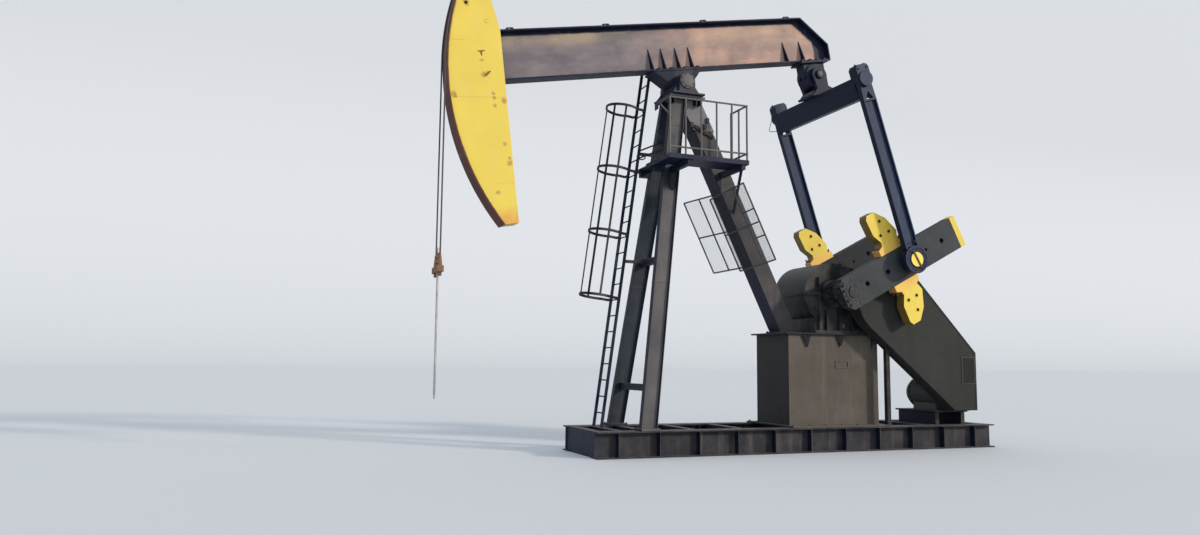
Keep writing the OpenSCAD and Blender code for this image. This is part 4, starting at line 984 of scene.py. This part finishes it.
def crank_fittings():
    out = CRANK_FACE + CRANK_T
    p = Piece("cranks")
    for s, y0, y1 in sides(out - 0.001, out + 0.007):
        for e in SIDES:
            p.plate([(0.04, e * 0.292), (0.04, e * 0.205), (1.09, e * 0.232), (1.09, e * 0.305)][::e], y0, y1)
    p.done("crank_strips", "crank", 0.003)
    for s, y0, y1 in sides(out, out + 0.022):
        p.ring((0, s * out, 0), (0, s, 0), 0.12, 0.175, 0.008, 48)
        for x, z in ((-0.165, -0.205), (-0.19, -0.1), (-0.165, 0.205), (-0.19, 0.1)):
            p.bolt((x, s * out, z), (0, s, 0), 0.026, 0.035)
        p.lathe((0, s * (out + 0.025), 0), (0, s, 0), [(0, 0.07), (0.006, 0.066), (0.006, 0)], 40)
        p.box((-0.016, y0, 0.098), (0.016, y1, 0.128))
    p.done("crank_clamp", "crank", 0.003)
    # Dark lines stand proud by a film, as do the centre and the eye, whose black discs are painted shade of
    # holes
    film = 0.0015
    for s, y0, y1 in sides(CRANK_FACE - film, out + film):
        p.box((-CRANK_HUB - film, y0, -0.007), (-0.113, y1, 0.007))
        p.disc(0, s * (out + 0.031), 0, 0.012, film, 20)
        p.disc(-0.145, s * out, 0.243, 0.02, film, 20)
        y0, y1 = sorted((s * (CRANK_FACE - film), s * (CRANK_FACE + 0.01)))
        p.box((1.682, y0, -0.223), (1.698, y1, 0.135))
    p.done("crank_slots", "dark")
    # Bolts that clamp the counterweights' feet along the cranks' edges
    mid = CRANK_FACE + CRANK_T / 2
    for s in SIDES:
        for e in SIDES:
            for x, h, nx, nz in ((0.273, 0.136, 0.371, 0.928), (-0.265, 0.14, -0.342, 0.94)):
                for dy in both(0.052):
                    foot, axis = (WEIGHT_X + x, s * mid + dy, e * (CRANK_HALF + h)), (nx, 0, e * nz)
                    p.bolt(foot, axis, 0.024, 0.03)
                    p.lathe(foot, axis, [(0, 0.014), (0.062, 0.014), (0.066, 0.011), (0.066, 0)], 12)
    p.done("weight_bolts", "brown")
    for s in SIDES:
        for e in SIDES:
            for x, h in ((0.09, 0.37), (-0.13, 0.37), (-0.02, 0.63)):
                for d in SIDES:
                    p.ring((WEIGHT_X + x, s * mid + d * 0.105, e * (CRANK_HALF + h)), (0, d, 0),
                           0.033, 0.047, 0.005, 24)
    p.done("weight_rings", "weight")


def equalizer_fittings():
    p = Piece("equalizer")
    for s in SIDES:
        p.bolt_circle(0, s * WRIST_FACE, -PITMAN_L, 0.215, 8, 0.015)
        for dx in both(0.1):
            p.bolt((dx, s * 1.54, -0.265), (0, s, 0), 0.018)
            p.bolt((dx, s * 1.47, -0.19), UP, 0.018)
        p.bolt_row(both(0.262), s * 0.085, -YOKE_DROP + 0.045, 0.015)
    p.done("equalizer_bolts", "iron")
    for s, y0, y1 in sides(PITMAN_Y - PITMAN_D / 2 - 0.004, PITMAN_Y + PITMAN_D / 2 + 0.006):
        p.ring((0, s * WRIST_FACE, -PITMAN_L), (0, s, 0), 0.236, 0.266, 0.008, 64)
        for d in SIDES:
            x0, x1 = sorted((d * 0.115, d * 0.158))
            p.box((x0, y0, -PITMAN_L + 0.245), (x1, y1, -PITMAN_L + 0.42))
    p.done("wrist_rims", "dusty", bevel=0.003)
    for s in SIDES:
        for dx in both(0.085):
            p.bolt((dx, s * (PITMAN_Y + PITMAN_D / 2), -PITMAN_L + 0.34), (0, s, 0), 0.013)
    p.done("pitman_bolts", "iron")
    p.lathe((0, -1.544, -PITMAN_L), (0, -1, 0), [(-0.001, 0.14), (0.004, 0.14), (0.004, 0)], 64)
    p.done("wrist_disc", "disc", bevel=0.001)
    for s in SIDES:
        p.lathe((0, s * 0.316, 0), (0, s, 0), [(0, 0.052), (0.005, 0.048), (0.005, 0)])
    p.done("shaft_covers", "cap", 0.001)
    # The bar that crosses the disc
    tilt, half = radians(13), 0.175
    d = Vector((-sin(tilt), 0, cos(tilt)))
    c = Vector((0, -1.556, -PITMAN_L))
    p.bar(c - d * half, c + d * half, 0.016, 0.034, d.cross(Vector((0, 1, 0))))
    p.done("wrist_bar", "brown", bevel=0.002)
    # A slack loop of wire at the far end block
    loop = ((-0.14, -0.42), (-0.19, -0.435), (-0.215, -0.465), (-0.29, -0.58), (-0.365, -0.69),
            (-0.365, -0.72), (-0.335, -0.735), (-0.2, -0.755), (-0.13, -0.765))
    p.tube([(x, PITMAN_Y, z) for x, z in loop], 0.007, 8)
    p.done("yoke_wire", "iron")


def hanger_fittings():
    x, z = -(HEAD_R + 0.0143), 3.2
    p = Piece("hanger")
    for s, y0, y1 in sides(0.238, 0.252):
        p.lathe((x, s * 0.18, z + 0.05), UP,
                [(0, 0.04), (0.05, 0.038), (0.17, 0.024), (0.19, 0.019), (0.19, 0.014)], 24)
        p.lathe((x, s * 0.18, z - 0.05), DOWN, [(0, 0.034), (0.06, 0.034), (0.07, 0.026), (0.07, 0)], 24)
        p.box((x - 0.054, y0, z - 0.056), (x + 0.054, y1, z + 0.056))
    p.lathe((x, 0, z + 0.24), UP, [(0, 0.04), (0.05, 0.04), (0.055, 0.034), (0.055, 0.019)], 6)
    p.done("carrier_sockets", "rusty", 0.002)
    for s in SIDES:
        for dx in both(0.032):
            for h in (0.1, 0.19):
                p.bolt((x + dx, s * 0.06, z + h), (0, s, 0), 0.012)
    p.done("carrier_bolts", "iron")
    # Bolts of the clamp that ends the wirelines on the horsehead's rim
    p = Piece("beam")
    a = radians(32)
    out = Vector((-cos(a), 0, sin(a)))
    along = Vector((sin(a), 0, cos(a)))
    for y in (-0.125, -0.05, 0.05, 0.125):
        p.bolt(out * (HEAD_R + 0.029) + along * 0.058 + Vector((0, y, 0)), along, 0.009)
    p.done("line_clamp_bolts", "iron")


saddle_fittings()
post_fittings()
gearbox_fittings()
guard_fittings()
pedestal_fittings()
motor_fittings()
platform_fittings()
screen_mesh("screen_mesh_near", (0.28, 0.02), (-1.0, -0.04), 3.505, 4.9, 0.026, 0.0018)
screen_mesh("screen_mesh_far", (0.19, -0.062), (0.95, 0.25), 3.57, 4.975, 0.045, 0.0018)
beam_fittings()
head_fittings()
crank_fittings()
equalizer_fittings()
hanger_fittings()


# Stage, light and camera
def floor():
    """A pale floor that rises into a backdrop far behind."""
    flat = [(-160 + i * 24.0, 0.0) for i in range(16)]
    rise = [(200 + 120 * sin(a), 120 * (1 - cos(a))) for a in (i / 40 * pi / 2 for i in range(41))]
    bm = bmesh.new()
    rows = [[bm.verts.new((x, y, z)) for x in (-900, 900)] for y, z in flat + rise + [(320, 520)]]
    for a, b in zip(rows, rows[1:]):
        bm.faces.new((a[0], a[1], b[1], b[0]))
    obj = link_mesh("floor", bm, Shader("floor_pale").finish((0.52, 0.54, 0.56), 0.9))
    obj.data.shade_smooth()


floor()
world = bpy.data.worlds.new("studio")
bpy.context.scene.world = world
world.use_nodes = True
sky = world.node_tree.nodes["Background"].inputs
sky["Color"].default_value = (0.8, 0.87, 0.97, 1)
sky["Strength"].default_value = 0.95


def sun(name, direction, strength, angle, color):
    data = bpy.data.lights.new(name, "SUN")
    data.energy = strength
    data.angle = radians(angle)
    data.color = color
    link_object(name, data).rotation_euler = Vector(direction).to_track_quat("Z", "Y").to_euler()


sun("key", (0.66, -0.65, 0.37), 2.5, 6.0, (1.0, 0.89, 0.76))
sun("fill", (-0.3, -0.8, 0.5), 0.35, 50.0, (0.85, 0.92, 1.0))

# Solved from the photo: focal length and width in pixels, place and turn
FOCAL, PHOTO_WIDTH, EYE = 886.792, 1200, (-7.427, -15.16, 1.628)
camera = bpy.data.cameras.new("camera")
camera.sensor_fit = "HORIZONTAL"
camera.sensor_width = 36.0
camera.lens = FOCAL / PHOTO_WIDTH * camera.sensor_width
camera.clip_end = 1500
cam = link_object("camera", camera)
yaw, pitch, roll = radians(21.08), radians(6.16), radians(0.54)
forward = Vector((sin(yaw) * cos(pitch), cos(yaw) * cos(pitch), sin(pitch)))
right = Vector((cos(yaw), -sin(yaw), 0))
level = Matrix((right, right.cross(forward), -forward)).transposed().to_4x4()
cam.matrix_world = Matrix.Translation(EYE) @ level @ Matrix.Rotation(roll, 4, "Z")
bpy.context.scene.camera = cam
bpy.context.scene.view_settings.view_transform = "Standard"
